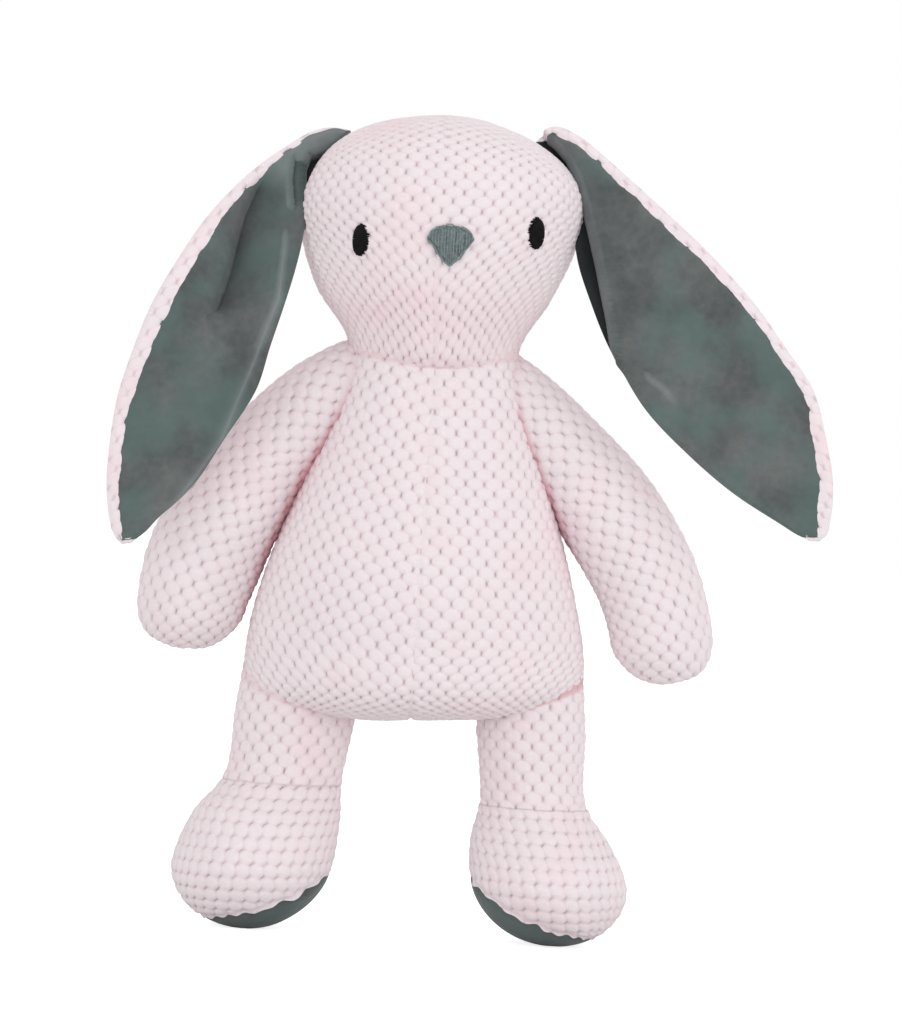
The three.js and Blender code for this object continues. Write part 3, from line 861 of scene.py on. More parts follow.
@dataclass(frozen=True)
class PlumpForm:
    """A closed form of oval rings along a smooth line of stations, round at both ends.

    Attributes:
        stations: The rings it passes through.
        start_round: Length of the round start, in millimetres.
        end_round: Length of the round end, in millimetres.
        start_power: Fullness of the start, 2 for a half ellipse.
        end_power: Fullness of the end.
        level: Whether the rings stay level rather than square to the line.
        spacing: Distance between grid points, in millimetres.
        seam_depth: Depth of the groove along the seams, in metres.
        lumps: Soft unevenness of the filled skin.
    """

    stations: tuple[Station, ...]
    start_round: float
    end_round: float
    start_power: float = 2.0
    end_power: float = 2.0
    level: bool = True
    spacing: float = 0.8
    seam_depth: float = 0.4 * MM
    lumps: Lumps = Lumps(0.9 * MM, 55 * MM, 3)

    def profile(self) -> dict[str, np.ndarray]:
        """Places the rings at even distances over the skin.

        Returns:
            centre, along, across, back, width, depth, round and skin, one row per ring. skin
            is the distance over the skin from the start, in metres, and round the power
            that makes an oval boxier below 1.
        """
        rows = np.array(
            [[*s.centre, s.half_width, s.half_depth, s.squareness] for s in self.stations]
        )
        dense = spline(rows, 3000)
        steps = np.linalg.norm(np.diff(dense[:, :3], axis=0), axis=1)
        distance = np.concatenate([[0.0], np.cumsum(steps)])
        length = distance[-1]
        turn = np.linspace(0, math.pi / 2, 200)
        marks = np.concatenate([
            self.start_round * (1 - np.cos(turn)),
            np.linspace(self.start_round, length - self.end_round, 400)[1:-1],
            length - self.end_round * (1 - np.cos(turn[::-1])),
        ])
        fine = resampled(dense, distance, marks)
        opened = self._opening(marks, self.start_round, self.start_power)
        opened = opened * self._opening(length - marks, self.end_round, self.end_power)
        radius = (fine[:, 3] + fine[:, 4]) / 2 * opened
        skin = np.hypot(np.diff(marks), np.diff(radius))
        skin = np.concatenate([[0.0], np.cumsum(skin)])
        count = max(8, int(skin[-1] / self.spacing))
        at = np.linspace(0.0, skin[-1], count)
        fine = resampled(fine, skin, at)
        opened = np.interp(at, skin, opened)
        along = np.gradient(fine[:, :3], axis=0)
        if self.level:
            along = np.array([0.0, 0.0, 1.0]) * np.sign(along[:, 2:3])
        along /= np.linalg.norm(along, axis=1, keepdims=True)
        across = np.cross([0.0, 1.0, 0.0], along)
        across /= np.linalg.norm(across, axis=1, keepdims=True)
        centre = fine[:, :3] * MM + np.array([BODY_X, BODY_Y, 0.0])
        return {
            "centre": centre,
            "along": along,
            "across": across,
            "back": np.cross(along, across),
            "width": fine[:, 3] * opened * MM,
            "depth": fine[:, 4] * opened * MM,
            "round": 2 / fine[:, 5],
            "skin": at * MM,
        }

    @staticmethod
    def _opening(distance: np.ndarray, length: float, power: float) -> np.ndarray:
        """How far a round end has opened at a distance from its tip, from 0 to 1."""
        rest = np.clip(1 - distance / length, 0, 1)
        return (1 - rest**power) ** (1 / power)

    def grid(self, panel: Panel) -> Grid:
        """Builds one panel of the skin.

        Args:
            panel: Which part of the rings it covers.

        Returns:
            The panel, with its cloth measured from the reference angle and the start.
        """
        rings = self.profile()
        widest = (rings["width"].max() + rings["depth"].max()) / 2
        sweep = math.radians(panel.end - panel.start)
        columns = max(6, int(widest * abs(sweep) / (self.spacing * MM)))
        angles = np.radians(panel.start) + sweep * np.arange(columns + 1) / columns
        power = rings["round"][:, None]
        sideways = np.sign(np.cos(angles)) * np.abs(np.cos(angles)) ** power
        backwards = np.sign(np.sin(angles)) * np.abs(np.sin(angles)) ** power
        points = (
            rings["centre"][:, None, :]
            + rings["across"][:, None, :] * (rings["width"][:, None] * sideways)[..., None]
            + rings["back"][:, None, :] * (rings["depth"][:, None] * backwards)[..., None]
        )
        steps = np.linalg.norm(np.diff(points, axis=1), axis=-1)
        arc = np.concatenate([np.zeros((len(points), 1)), np.cumsum(steps, axis=1)], axis=1)
        middle = (panel.reference - panel.start) / (panel.end - panel.start) * columns
        low = int(np.clip(math.floor(middle), 0, columns))
        s = arc - arc[:, low : low + 1]
        t = np.repeat(rings["skin"][:, None], columns + 1, axis=1)
        tilt, lean = math.tan(math.radians(panel.tilt)), math.tan(math.radians(panel.lean))
        cloth = np.stack([s + lean * t, t + tilt * np.abs(s)], axis=-1)
        edge = np.minimum(arc, arc[:, -1:] - arc)
        return Grid(points, cloth, edge, np.zeros_like(edge))

    def relaxed(self, grid: Grid) -> Grid:
        """Draws a panel in along its seams, makes it softly uneven and returns it."""
        groove = -self.seam_depth * bell(grid.edge, 2.0 * MM)
        grid.push(groove + self.lumps.at(grid.points) * smoothstep(0, 12 * MM, grid.edge))
        return grid

    def depth_inside(self, points: np.ndarray) -> np.ndarray:
        """Measures how deep points lie inside an upright form.

        Args:
            points: Places in metres.

        Returns:
            Their depths in metres, below 0 outside.
        """
        rings = self.profile()
        order = np.argsort(rings["centre"][:, 2])
        height = rings["centre"][order, 2]
        z = points[..., 2]
        x0 = np.interp(z, height, rings["centre"][order, 0])
        y0 = np.interp(z, height, rings["centre"][order, 1])
        width = np.maximum(np.interp(z, height, rings["width"][order], 0, 0), 1e-4)
        depth = np.maximum(np.interp(z, height, rings["depth"][order], 0, 0), 1e-4)
        reach = np.hypot((points[..., 0] - x0) / width, (points[..., 1] - y0) / depth)
        return (1 - reach) * np.minimum(width, depth)


def wandered(points: np.ndarray) -> np.ndarray:
    """How far hand-laid cloth strays along and across its rows.

    Args:
        points: Places on the skin, in metres.

    Returns:
        Two distances for each place, in metres.
    """
    x, y, z = (points[..., axis] / MM for axis in range(3))
    along = np.sin(x / 9 + z / 13) + np.sin(z / 7.5 - x / 17 + 1.3) + 0.6 * np.sin(x / 4.7 + y / 6)
    across = np.sin(x / 11 - z / 8 + 0.7) + np.sin(z / 15 + x / 6.5) + 0.6 * np.sin(z / 5.1 - y / 7)
    return ROW_WANDER * np.stack([along, across], axis=-1)


@dataclass
class Part:
    """A piece of the toy that builds its own objects.

    Attributes:
        fabrics: The finished materials, by name.
        popcorn: The tree that raises the popcorn cells.
    """

    fabrics: dict[str, Material]
    popcorn: PopcornForm

    def plush(
        self, name: str, grids: list[Grid], inside: np.ndarray, fill: float
    ) -> Thing:
        """Makes a stuffed plush skin from its panels.

        Args:
            name: Name of the object.
            grids: The panels.
            inside: A point inside the form.
            fill: How tightly it is stuffed, 0 to 1; not used.

        Returns:
            The object, with its cells raised.
        """
        weld(grids)
        for grid in grids:
            grid.cloth = grid.cloth + wandered(grid.points)
        skin = mesh_object(name, grids, inside)
        self.popcorn.apply(skin, Fabric=self.fabrics["plush"])
        report(skin)
        return skin


@dataclass
class Torso(Part):
    """The pear-shaped body: two panels in front and two behind.

    Attributes:
        form: Its rings.
        panels: Its cloth, round the rings.
        seat_band: Heights between which the seat begins, in millimetres.
        seat_lean: How much the seat rises across the toy, as a slope.
        seat_gather: Share by which the cells grow smaller towards the seat.
        gather_top: Height below which they do, in millimetres.
        armpit_top: X and z where the fold beside the arm starts, in millimetres.
        armpit_end: X and z where it ends.
        armpit_shade: How much painted shade lies in it, 0 to 1.
        chin_shade: How much painted shade lies in the fold under the chin.
    """

    form: PlumpForm = PlumpForm(
        stations=(
            Station((-1, -1, 92.5), 66.5, 49),
            Station((-1, -1, 104), 71, 50),
            Station((-1, -1, 120), 72, 50),
            Station((-1.2, -1, 150), 66, 51),
            Station((-0.6, -1, 189), 53.3, 43, 2.2),
            Station((0, -1, 226), 39, 35, 2.6),
            Station((0, -1, 250), 35, 33, 2.5),
            Station((0, -1, 276), 33, 33, 2.2),
        ),
        start_round=24,
        end_round=10,
        start_power=3,
        lumps=Lumps(0.9 * MM, 60 * MM, 11),
    )
    panels: tuple[Panel, ...] = (
        Panel(-180, -90, -90, tilt=-11, lean=-9),
        Panel(-90, 0, -90, tilt=-1, lean=6),
        Panel(0, 90, 90, tilt=-7),
        Panel(90, 180, 90, tilt=-7),
    )
    seat_band: Pair = (130, 98)
    seat_lean: float = 0.05
    seat_gather: float = 0.22
    gather_top: float = 125
    armpit_top: Pair = (40, 236)
    armpit_end: Pair = (71, 150)
    armpit_shade: float = 0.75
    chin_shade: float = 0.25

    def build(self, head: PlumpForm) -> Thing:
        """Builds the torso skin on the body torso.

        Args:
            head: The head's form, for the seam under the chin.

        Returns:
            The torso's object.
        """
        grids = []
        for panel in self.panels:
            grid = self.form.grid(panel)
            self._shade(grid, head)
            low = self._seat(grid.points)
            heights, along = grid.points[::-1, 0, 2], grid.cloth[::-1, 0, 1]
            turn_in = np.interp(-self.gather_top * MM, -heights, along)
            finer = np.minimum(grid.cloth[..., 1] - turn_in, 0) * self.seat_gather
            grid.cloth[..., 0] *= 1 + self.seat_gather * low
            grid.cloth[..., 1] += finer
            relaxed = self.form.relaxed(grid)
            relaxed.points[..., 2] += self.seat_lean * low * (relaxed.points[..., 0] - BODY_X)
            grids.append(relaxed)
        skin = self.plush("torso_skin", grids, body_point(0, 0, 170), 0.8)
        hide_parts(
            "torso_front_left", "torso_front_right", "torso_back_left",
            "torso_back_right", "torso_stuffing",
        )
        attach(skin, "torso")
        return skin

    def depth_inside(self, points: np.ndarray) -> np.ndarray:
        """How deep points lie in the leaning torso, in metres, below 0 outside."""
        lean = self.seat_lean * self._seat(points) * (points[..., 0] - BODY_X)
        return self.form.depth_inside(points - lean[..., None] * np.array([0.0, 0.0, 1.0]))

    def _seat(self, points: np.ndarray) -> np.ndarray:
        """How far points belong to the seat, from 0 to 1."""
        top, bottom = self.seat_band
        return smoothstep(top * MM, bottom * MM, points[..., 2])

    def _shade(self, grid: Grid, head: PlumpForm) -> None:
        """Paints shade into the folds under the chin and beside the arms.

        Args:
            grid: The panel, whose crease is changed.
            head: The head's form.
        """
        z = grid.points[..., 2]
        x = np.abs(grid.points[..., 0] - BODY_X)
        (x0, z0), (x1, z1) = self.armpit_top, self.armpit_end
        line = (x0 + (z0 - z / MM) / (z0 - z1) * (x1 - x0)) * MM
        beside = bell(np.where(x < line, line - x, (x - line) / 2), 4 * MM)
        beside *= smoothstep(z1 * MM, (z1 + 30) * MM, z)
        beside *= 0.25 + 0.75 * smoothstep(z0 * MM, (z0 - 22) * MM, z)
        chin = smoothstep(-2.5 * MM, -0.2 * MM, head.depth_inside(grid.points))
        # Painted shade in the folds beside the arms and under the chin.
        folds = np.maximum(self.armpit_shade * beside, self.chin_shade * chin)
        grid.crease = np.maximum(grid.crease, folds)


@dataclass
class Head(Part):
    """The round head: two face panels that meet under the nose, and a back panel.

    Attributes:
        form: Its rings.
        panels: Its cloth, round the rings.
        brow: Height at which the rows lie level, in millimetres.
        crown_radius: Radius of the crown's curve up and over, in millimetres.
        side_radius: Radius of its curve to the sides.
        gather: Share by which the cells grow smaller towards the chin.
        chevron: How steeply the rows fall away from the seam at the chin.
        chin_seam_top: Height where the seam under the nose ends, in millimetres.
        neck_shade: How much painted shade lies in the fold round the neck, 0 to 1.
        jowl_shade: How much painted shade, pinker and darker, lies on the lower face under the
            cheeks, 0 to 1.
        jowl_band: Heights between which that painted shade fades in, in millimetres.
    """

    form: PlumpForm = PlumpForm(
        stations=(
            Station((-0.5, -3, 236), 34, 36),
            Station((-1, -3, 254), 37, 39.5),
            Station((-2.3, -3, 274), 49.8, 47),
            Station((-1.4, -3, 300), 59.3, 52),
            Station((0, -3, 322), 60, 51),
            Station((-2.5, -3, 348.8), 60, 51),
        ),
        start_round=12,
        end_round=42,
        end_power=2.15,
        lumps=Lumps(0.7 * MM, 60 * MM, 5),
    )
    panels: tuple[Panel, ...] = (
        Panel(-180, -90, -90),
        Panel(-90, 0, -90),
        Panel(0, 180, 90),
    )
    brow: float = 318
    crown_radius: float = 56
    side_radius: float = 60
    gather: float = 0.6
    chevron: float = 0.62
    chin_seam_top: float = 284
    neck_shade: float = 0.3
    jowl_shade: float = 0.1
    jowl_band: Pair = (288, 262)

    def build(self, torso: PlumpForm) -> Thing:
        """Builds the head skin on the body head.

        Args:
            torso: The torso's form, for the seam round the neck.

        Returns:
            The head's object.
        """
        grids = []
        for panel in self.panels:
            grid = self.form.grid(panel)
            self._lay_cloth(grid, panel)
            # Painted shade: pinker in the fold round the neck and under the cheeks.
            near = smoothstep(-2.5 * MM, -0.2 * MM, torso.depth_inside(grid.points))
            top, bottom = self.jowl_band
            jowl = smoothstep(top * MM, bottom * MM, grid.points[..., 2])
            pinker = np.maximum(self.neck_shade * near, self.jowl_shade * jowl)
            grid.crease = np.maximum(grid.crease, pinker)
            grids.append(self.form.relaxed(grid))
        skin = self.plush("head_skin", grids, body_point(0, -3, 300), 0.9)
        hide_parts("face_left", "face_right", "head_back", "head_stuffing")
        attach(skin, "head")
        return skin

    def _lay_cloth(self, grid: Grid, panel: Panel) -> None:
        """Runs the rows level over the brow, over the crown and into a chevron at the chin.

        Args:
            grid: The panel, whose cloth and sewn edges are changed.
            panel: Which part of the rings it covers.
        """
        points = grid.points - body_point(0, -3, self.brow)
        front = -1 if panel.reference < 0 else 1
        side_radius = self.side_radius * MM
        s_over = side_radius * np.arcsin(np.clip(points[..., 0] / side_radius, -1, 1))
        t_over = np.arctan2(points[..., 2], front * points[..., 1]) * self.crown_radius * MM
        level_t = grid.cloth[..., 1]
        at_brow = np.interp(0.0, points[:, 0, 2], level_t[:, 0])
        crown = smoothstep(0, 22 * MM, points[..., 2])
        s = grid.cloth[..., 0]
        s = s + (np.where(s < 0, -1, 1) * np.abs(s_over) - s) * crown
        t = (level_t - at_brow) * (1 - crown) + t_over * crown
        chin = smoothstep(8 * MM, -70 * MM, points[..., 2]) if front < 0 else 0 * t
        gathered = 1 + self.gather * smoothstep(-8 * MM, -66 * MM, points[..., 2])
        grid.cloth = np.stack([s * gathered, t - self.chevron * chin * np.abs(s)], axis=-1)
        if panel.reference == -90:
            seam_end = self.chin_seam_top * MM
            ended = smoothstep(seam_end, seam_end + 8 * MM, grid.points[..., 2])
            seam = np.abs(s) + 12 * MM * ended
            side = grid.edge.copy()
            side[np.abs(grid.cloth[..., 0]) < 20 * MM] = 1.0
            grid.edge = np.minimum(side, seam)


@dataclass
class Arm(Part):
    """An arm, sewn to the side of the neck and resting on the flank.

    All places are x away from the body's middle and z, in millimetres.

    Attributes:
        side: Which arm it is.
        root, shoulder, upper, elbow, fore, hand, end: Places along its middle line, from
            inside the neck to the paw.
        fore_width, hand_width: Half widths of the forearm and the paw.
        hinge: Where the arm turns; not used.
        blend_before: How far inwards and up of the hinge a blend would start; not used.
        blend_beyond: How far outwards and down of it a blend would end; not used.
        fold_shade: How much painted shade lies in the fold against the torso, 0 to 1.
    """

    side: Side = Side.LEFT
    root: Pair = (19, 241)
    shoulder: Pair = (36, 229)
    upper: Pair = (56, 210.3)
    elbow: Pair = (77, 186.3)
    fore: Pair = (96.5, 156)
    hand: Pair = (104.3, 130.5)
    end: Pair = (105.3, 114)
    fore_width: float = 22
    hand_width: float = 21.6
    hinge: Pair = (37, 249)
    blend_before: Pair = (10, 9)
    blend_beyond: Pair = (17, 17)
    fold_shade: float = 0.9

    def form(self) -> PlumpForm:
        """The arm's rings from the neck to the paw."""
        sign = self.side.value

        def ring(at: Pair, width: float, depth: float) -> Station:
            """A ring at a place in the plane of the arm."""
            return Station((sign * at[0], -1, at[1]), width, depth)

        return PlumpForm(
            stations=(
                ring(self.root, 15.5, 18),
                ring(self.shoulder, 17.5, 19),
                ring(self.upper, 19.2, 20),
                ring(self.elbow, 22, 21.5),
                ring(self.fore, self.fore_width, 21.5),
                ring(self.hand, self.hand_width, 21),
                ring(self.end, self.hand_width, 21),
            ),
            start_round=8,
            end_round=20,
            end_power=2.2,
            level=False,
            lumps=Lumps(0.8 * MM, 45 * MM, 21 + sign),
        )

    def build(self, torso: Torso) -> Thing:
        """Builds the arm's skin.

        Args:
            torso: The torso, for the fold where the arm leaves it.

        Returns:
            The arm's object.
        """
        word, sign = self.side.word, self.side.value
        form = self.form()
        grids = []
        for panel in (Panel(-180, 0, -90, tilt=0, lean=5 * sign), Panel(0, 180, 90)):
            grid = form.grid(panel)
            # Painted shade in the fold where the arm meets the torso, strongest at the armpit.
            inside = torso.depth_inside(grid.points)
            pit = smoothstep(238 * MM, 216 * MM, grid.points[..., 2])
            fold = smoothstep(-6 * MM, -0.3 * MM, inside) * bell(np.maximum(inside, 0), 3 * MM)
            grid.crease = self.fold_shade * fold * (0.2 + 0.8 * pit)
            grids.append(form.relaxed(grid))
        inside = body_point(sign * self.elbow[0], -1, self.elbow[1])
        skin = self.plush(f"arm_{word}_skin", grids, inside, 0.6)
        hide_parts(f"arm_{word}_front", f"arm_{word}_back", f"arm_{word}_stuffing")
        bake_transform(skin)
        return skin


@dataclass
class Leg(Part):
    """A leg with its foot: a plush tube gathered at the ankle and a grey velour sole.

    Every ring is its centre's x away from the body's middle and its half width, and all
    lengths without a unit are millimetres.

    Attributes:
        side: Which leg it is.
        sole_tilt: How far the sole turns towards the middle, in degrees.
        sole_pitch: How far it turns to the front.
        sole_seam: Height of the sole's seam under the foot's middle.
        ankle: Height of the ankle seam.
        top, ankle_ring, instep_ring, foot_ring, sole_ring: Rings from the torso to the
            floor; foot_ring is the widest of the upper.
        sole_round: Length of the foot's round underside.
        seam_shade: How much painted shade lies in the fold at the top of the leg, 0 to 1.
        hinge: Height at which the leg turns; not used.
        blend_above, blend_below: How far above and below the hinge a blend would reach; not used.
        gather_height: Height of the small gathers at the ankle, in metres.
        sole_groove: Depth of the groove along the sole's seam, in metres.
        overhang: How far the upper's cells hang over the sole, in metres.
        soft_pits: How much softer the foot's pits are, 0 to 1.
        sole_shade: How much of the velour's painted fold shade darkens the whole sole, 0 to 1.
    """

    side: Side = Side.LEFT
    sole_tilt: float = 22
    sole_pitch: float = 12
    sole_seam: float = 15
    ankle: float = 58
    top: Pair = (50.2, 23.3)
    ankle_ring: Pair = (53.2, 22.5)
    instep_ring: Pair = (57.2, 29.4)
    foot_ring: Pair = (61, 33)
    sole_ring: Pair = (64.8, 32.4)
    sole_round: float = 28
    seam_shade: float = 0.6
    hinge: float = 70
    blend_above: float = 20
    blend_below: float = 14
    gather_height: float = 0.3 * MM
    sole_groove: float = 0.8 * MM
    overhang: float = 2.2 * MM
    soft_pits: float = 0.4
    sole_shade: float = 0.1

    def form(self) -> PlumpForm:
        """The leg's rings from inside the torso down to the floor."""
        sign = self.side.value

        def ring(sizes: Pair, forward: float, height: float, depth: float) -> Station:
            """A level ring from its place across and its half width."""
            return Station((sign * sizes[0], forward, height), sizes[1], depth)

        return PlumpForm(
            stations=(
                ring((self.top[0] - 2, self.top[1] - 1.5), 0, 124, 21),
                ring(self.top, 0, 93.5, 22.4),
                ring(self.ankle_ring, 0, self.ankle + 2, 22.4),
                ring(self.instep_ring, -5, self.ankle - 14, 30),
                ring(self.foot_ring, -9, 29, 37),
                ring(self.sole_ring, -8, -0.4, 36),
            ),
            start_round=8,
            end_round=self.sole_round,
            end_power=2.0,
            lumps=Lumps(0.6 * MM, 40 * MM, 31 + sign),
        )

    def build(self, torso: Torso) -> list[Thing]:
        """Builds the leg with its foot, and its sole.

        Args:
            torso: The torso, for the fold where the leg leaves it.

        Returns:
            The plush leg and the velour sole.
        """
        word, sign = self.side.word, self.side.value
        form = self.form()
        seam_at = body_point(sign * 64.5, -6, self.sole_seam)
        tilt, pitch = math.radians(self.sole_tilt), math.radians(self.sole_pitch)
        up = np.array([sign * math.sin(tilt), -math.sin(pitch), math.cos(tilt)])
        up /= np.linalg.norm(up)
        grids = []
        for panel in (Panel(-180, 0, -90), Panel(0, 180, 90)):
            grid = form.grid(panel)
            z = grid.points[..., 2]
            from_sole = np.abs((grid.points - seam_at) @ up)
            from_ankle = z - self.ankle * MM
            ankle = bell(from_ankle, 3.5 * MM)
            gathers = self.gather_height * np.sin(grid.cloth[..., 0] / (2.1 * MM))
            gathers *= bell(from_ankle, 6 * MM)
            groove = self.sole_groove * bell(from_sole, 2.0 * MM)
            grid.push(-0.1 * MM * ankle + gathers - groove)
            # Painted shade in the fold where the leg leaves the torso, and faintly along the ankle
            # seam.
            inside = torso.depth_inside(grid.points)
            fold_shading = self.seam_shade * smoothstep(-2.4 * MM, -0.3 * MM, inside)
            fold_shading *= bell(np.maximum(inside, 0), 2 * MM)
            grid.edge = np.minimum(grid.edge, from_sole)
            grid.edge = np.minimum(grid.edge, np.abs(from_ankle) + 2.4 * MM)
            grid.crease = np.maximum(fold_shading, 0.03 * ankle)
            foot = z < self.ankle * MM
            diagonal = np.array([[1, 1], [-1, 1]]) / math.sqrt(2)
            grid.cloth = np.where(foot[..., None], grid.cloth @ diagonal, grid.cloth)
            grid.crease = np.where(foot & (grid.crease < 0.02), -self.soft_pits, grid.crease)
            grids.append(form.relaxed(grid))
        weld(grids)
        for grid in grids:
            grid.points[..., 2] = np.maximum(grid.points[..., 2], 0)
        leg = mesh_object(f"leg_{word}_skin", grids, body_point(sign * 55, 0, 60))
        sole = leg.copy()
        sole.data = leg.data.copy()
        sole.name = f"sole_{word}"
        bpy.context.scene.collection.objects.link(sole)
        self._cut(leg, seam_at, up, self.overhang)
        self._cut(sole, seam_at, -up)
        # Painted shade: the whole sole is mixed a little towards the painted fold shade.
        crease = sole.data.attributes["crease"].data
        crease.foreach_set("value", np.full(len(crease), self.sole_shade, np.float32))
        self.popcorn.apply(leg, Fabric=self.fabrics["plush"])
        self.popcorn.apply(sole, Fabric=self.fabrics["velour"], Puff=0.0)
        for thing, slot in ((leg, "plush"), (sole, "velour")):
            report(thing)
            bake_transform(thing)
        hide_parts(f"leg_{word}", f"foot_{word}_upper", f"leg_{word}_stuffing")
        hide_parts(f"foot_{word}_sole")
        return [leg, sole]

    @staticmethod
    def _cut(thing: Thing, point: np.ndarray, normal: np.ndarray, overlap: float = 0) -> None:
        """Keeps what lies on the side of a plane that its normal points to.

        Args:
            thing: The mesh to cut.
            point: A point of the plane.
            normal: Points to the side that stays.
            overlap: How far the cells along the edge hang over the plane, in metres.
        """
        plane_at, up = Vector(point), Vector(normal)
        form = bmesh.new()
        form.from_mesh(thing.data)
        bmesh.ops.bisect_plane(
            form, geom=form.verts[:] + form.edges[:] + form.faces[:], dist=1e-6,
            plane_co=plane_at, plane_no=up, clear_inner=True,
        )
        if overlap:
            Leg._hang_over(form, plane_at, up, overlap)
        form.to_mesh(thing.data)
        form.free()

    @staticmethod
    def _hang_over(form: bmesh.types.BMesh, plane_at: Vector, up: Vector, overlap: float) -> None:
        """Draws the cloth beside a cut raggedly over it.

        Args:
            form: The cut mesh, which is changed.
            plane_at: A point of the cut.
            up: Points away from the cut, into the cloth.
            overlap: How far the longest cells hang over the cut, in metres.
        """
        reach, outwards = 5 * MM, 0.6 * MM
        centre = sum((vert.co for vert in form.verts), Vector()) / len(form.verts)
        out = up.orthogonal().normalized()
        side = up.cross(out)
        for vert in form.verts:
            rise = (vert.co - plane_at).dot(up)
            if rise < reach:
                away = vert.co - centre
                turn = math.atan2(away.dot(side), away.dot(out))
                ragged = 0.5 + 0.22 * math.sin(37 * turn + 2.5 * math.sin(4 * turn))
                ragged += 0.28 * math.sin(15 * turn + 1.3 + 1.5 * math.sin(7 * turn))
                share = (1 - rise / reach) ** 2
                level = (away - up * away.dot(up)).normalized()
                vert.co += share * (level * outwards - up * overlap * ragged)


@dataclass(frozen=True)
class Pleat:
    """A fold pressed into an ear along a line, with its painted shade and painted highlight.

    Attributes:
        line: Its points as x and z in millimetres from the body's middle; x grows away
            from the body.
        drop: How far the cloth falls back on the side towards the body, in metres.
        width: Over how much width it falls.
        reach: Over how much width it comes forward again.
        dark: How much painted shade the fallen side has beside the line, 0 to 1.
        highlight_and_wear: How much lighter the line is painted, 0 to 1: painted highlight on
        the fold's ridge, in places also rubbed nap.
        highlight_and_wear_at: Where the lighter line lies, above 0 on the fallen side.
        highlight_and_wear_width: Width of the lighter line.
        fade: Length over which the fold runs out at its ends.
    """

    line: tuple[Pair, ...]
    drop: float
    width: float = 1.0 * MM
    reach: float = 10 * MM
    dark: float = 0.0
    highlight_and_wear: float = 0.0
    highlight_and_wear_at: float = -1.0 * MM
    highlight_and_wear_width: float = 1.0 * MM
    fade: float = 12 * MM

    def press(self, flat: np.ndarray) -> tuple[np.ndarray, np.ndarray]:
        """Measures the fold over an ear.

        Args:
            flat: Places as x away from the body and z, in metres.

        Returns:
            How far each place falls back, in metres, and its crease value, above 0 for
            painted shade and below 0 for the lighter line.
        """
        line = np.array(self.line) * MM
        nearest = np.full(flat.shape[:-1], np.inf)
        signed, place = np.zeros_like(nearest), np.zeros_like(nearest)
        passed = 0.0
        for first, second in zip(line[:-1], line[1:]):
            step = second - first
            length = float(np.hypot(*step))
            away = flat - first
            part = np.clip((away @ step) / length**2, 0, 1)
            gap = np.linalg.norm(away - part[..., None] * step, axis=-1)
            cross = step[0] * away[..., 1] - step[1] * away[..., 0]
            closer = gap < nearest
            nearest = np.where(closer, gap, nearest)
            signed = np.where(closer, -np.sign(cross) * gap, signed)
            place = np.where(closer, passed + part * length, place)
            passed += length
        strength = smoothstep(0, self.fade, place) * smoothstep(passed, passed - self.fade, place)
        beyond = np.maximum(signed - self.width, 0)
        fallen = smoothstep(-self.width, self.width, signed) * np.exp(-beyond / self.reach)
        # The lighter line is painted highlight along the ridge, in places rubbed nap; the fallen
        # side gets painted shade.
        lightened = self.highlight_and_wear * bell(signed - self.highlight_and_wear_at, self.highlight_and_wear_width)
        shade = self.dark * smoothstep(-0.3 * self.width, self.width, signed)
        shade = shade * np.exp(-beyond / self.reach)
        return self.drop * fallen * strength, np.where(lightened > shade, -lightened, shade) * strength


@dataclass(frozen=True)
class EarStation:
    """A line across an ear, in millimetres from the body's middle.

    Attributes:
        outer: X and z of the edge away from the body; x grows away from the body.
        inner: X and z of the edge towards the body.
        forward: Y of the line, negative in front.
        rim: Width of the plush rim beside the lining.
    """

    outer: Pair
    inner: Pair
    forward: float
    rim: float


def ear_stations(*rows: tuple[float, ...]) -> tuple[EarStation, ...]:
    """Turns rows of outer x and z, inner x and z, forward and rim into ear stations."""
    return tuple(EarStation((x, z), (u, w), y, rim) for x, z, u, w, y, rim in rows)


@dataclass(frozen=True)
class EarShape:
    """What sets one ear apart from the other.

    Attributes:
        stations: The lines across it, from its root to its tip.
        pleats: The folds pressed into it.
        seed: Seed of the small waves across it.
    """

    stations: tuple[EarStation, ...]
    pleats: tuple[Pleat, ...]
    seed: int


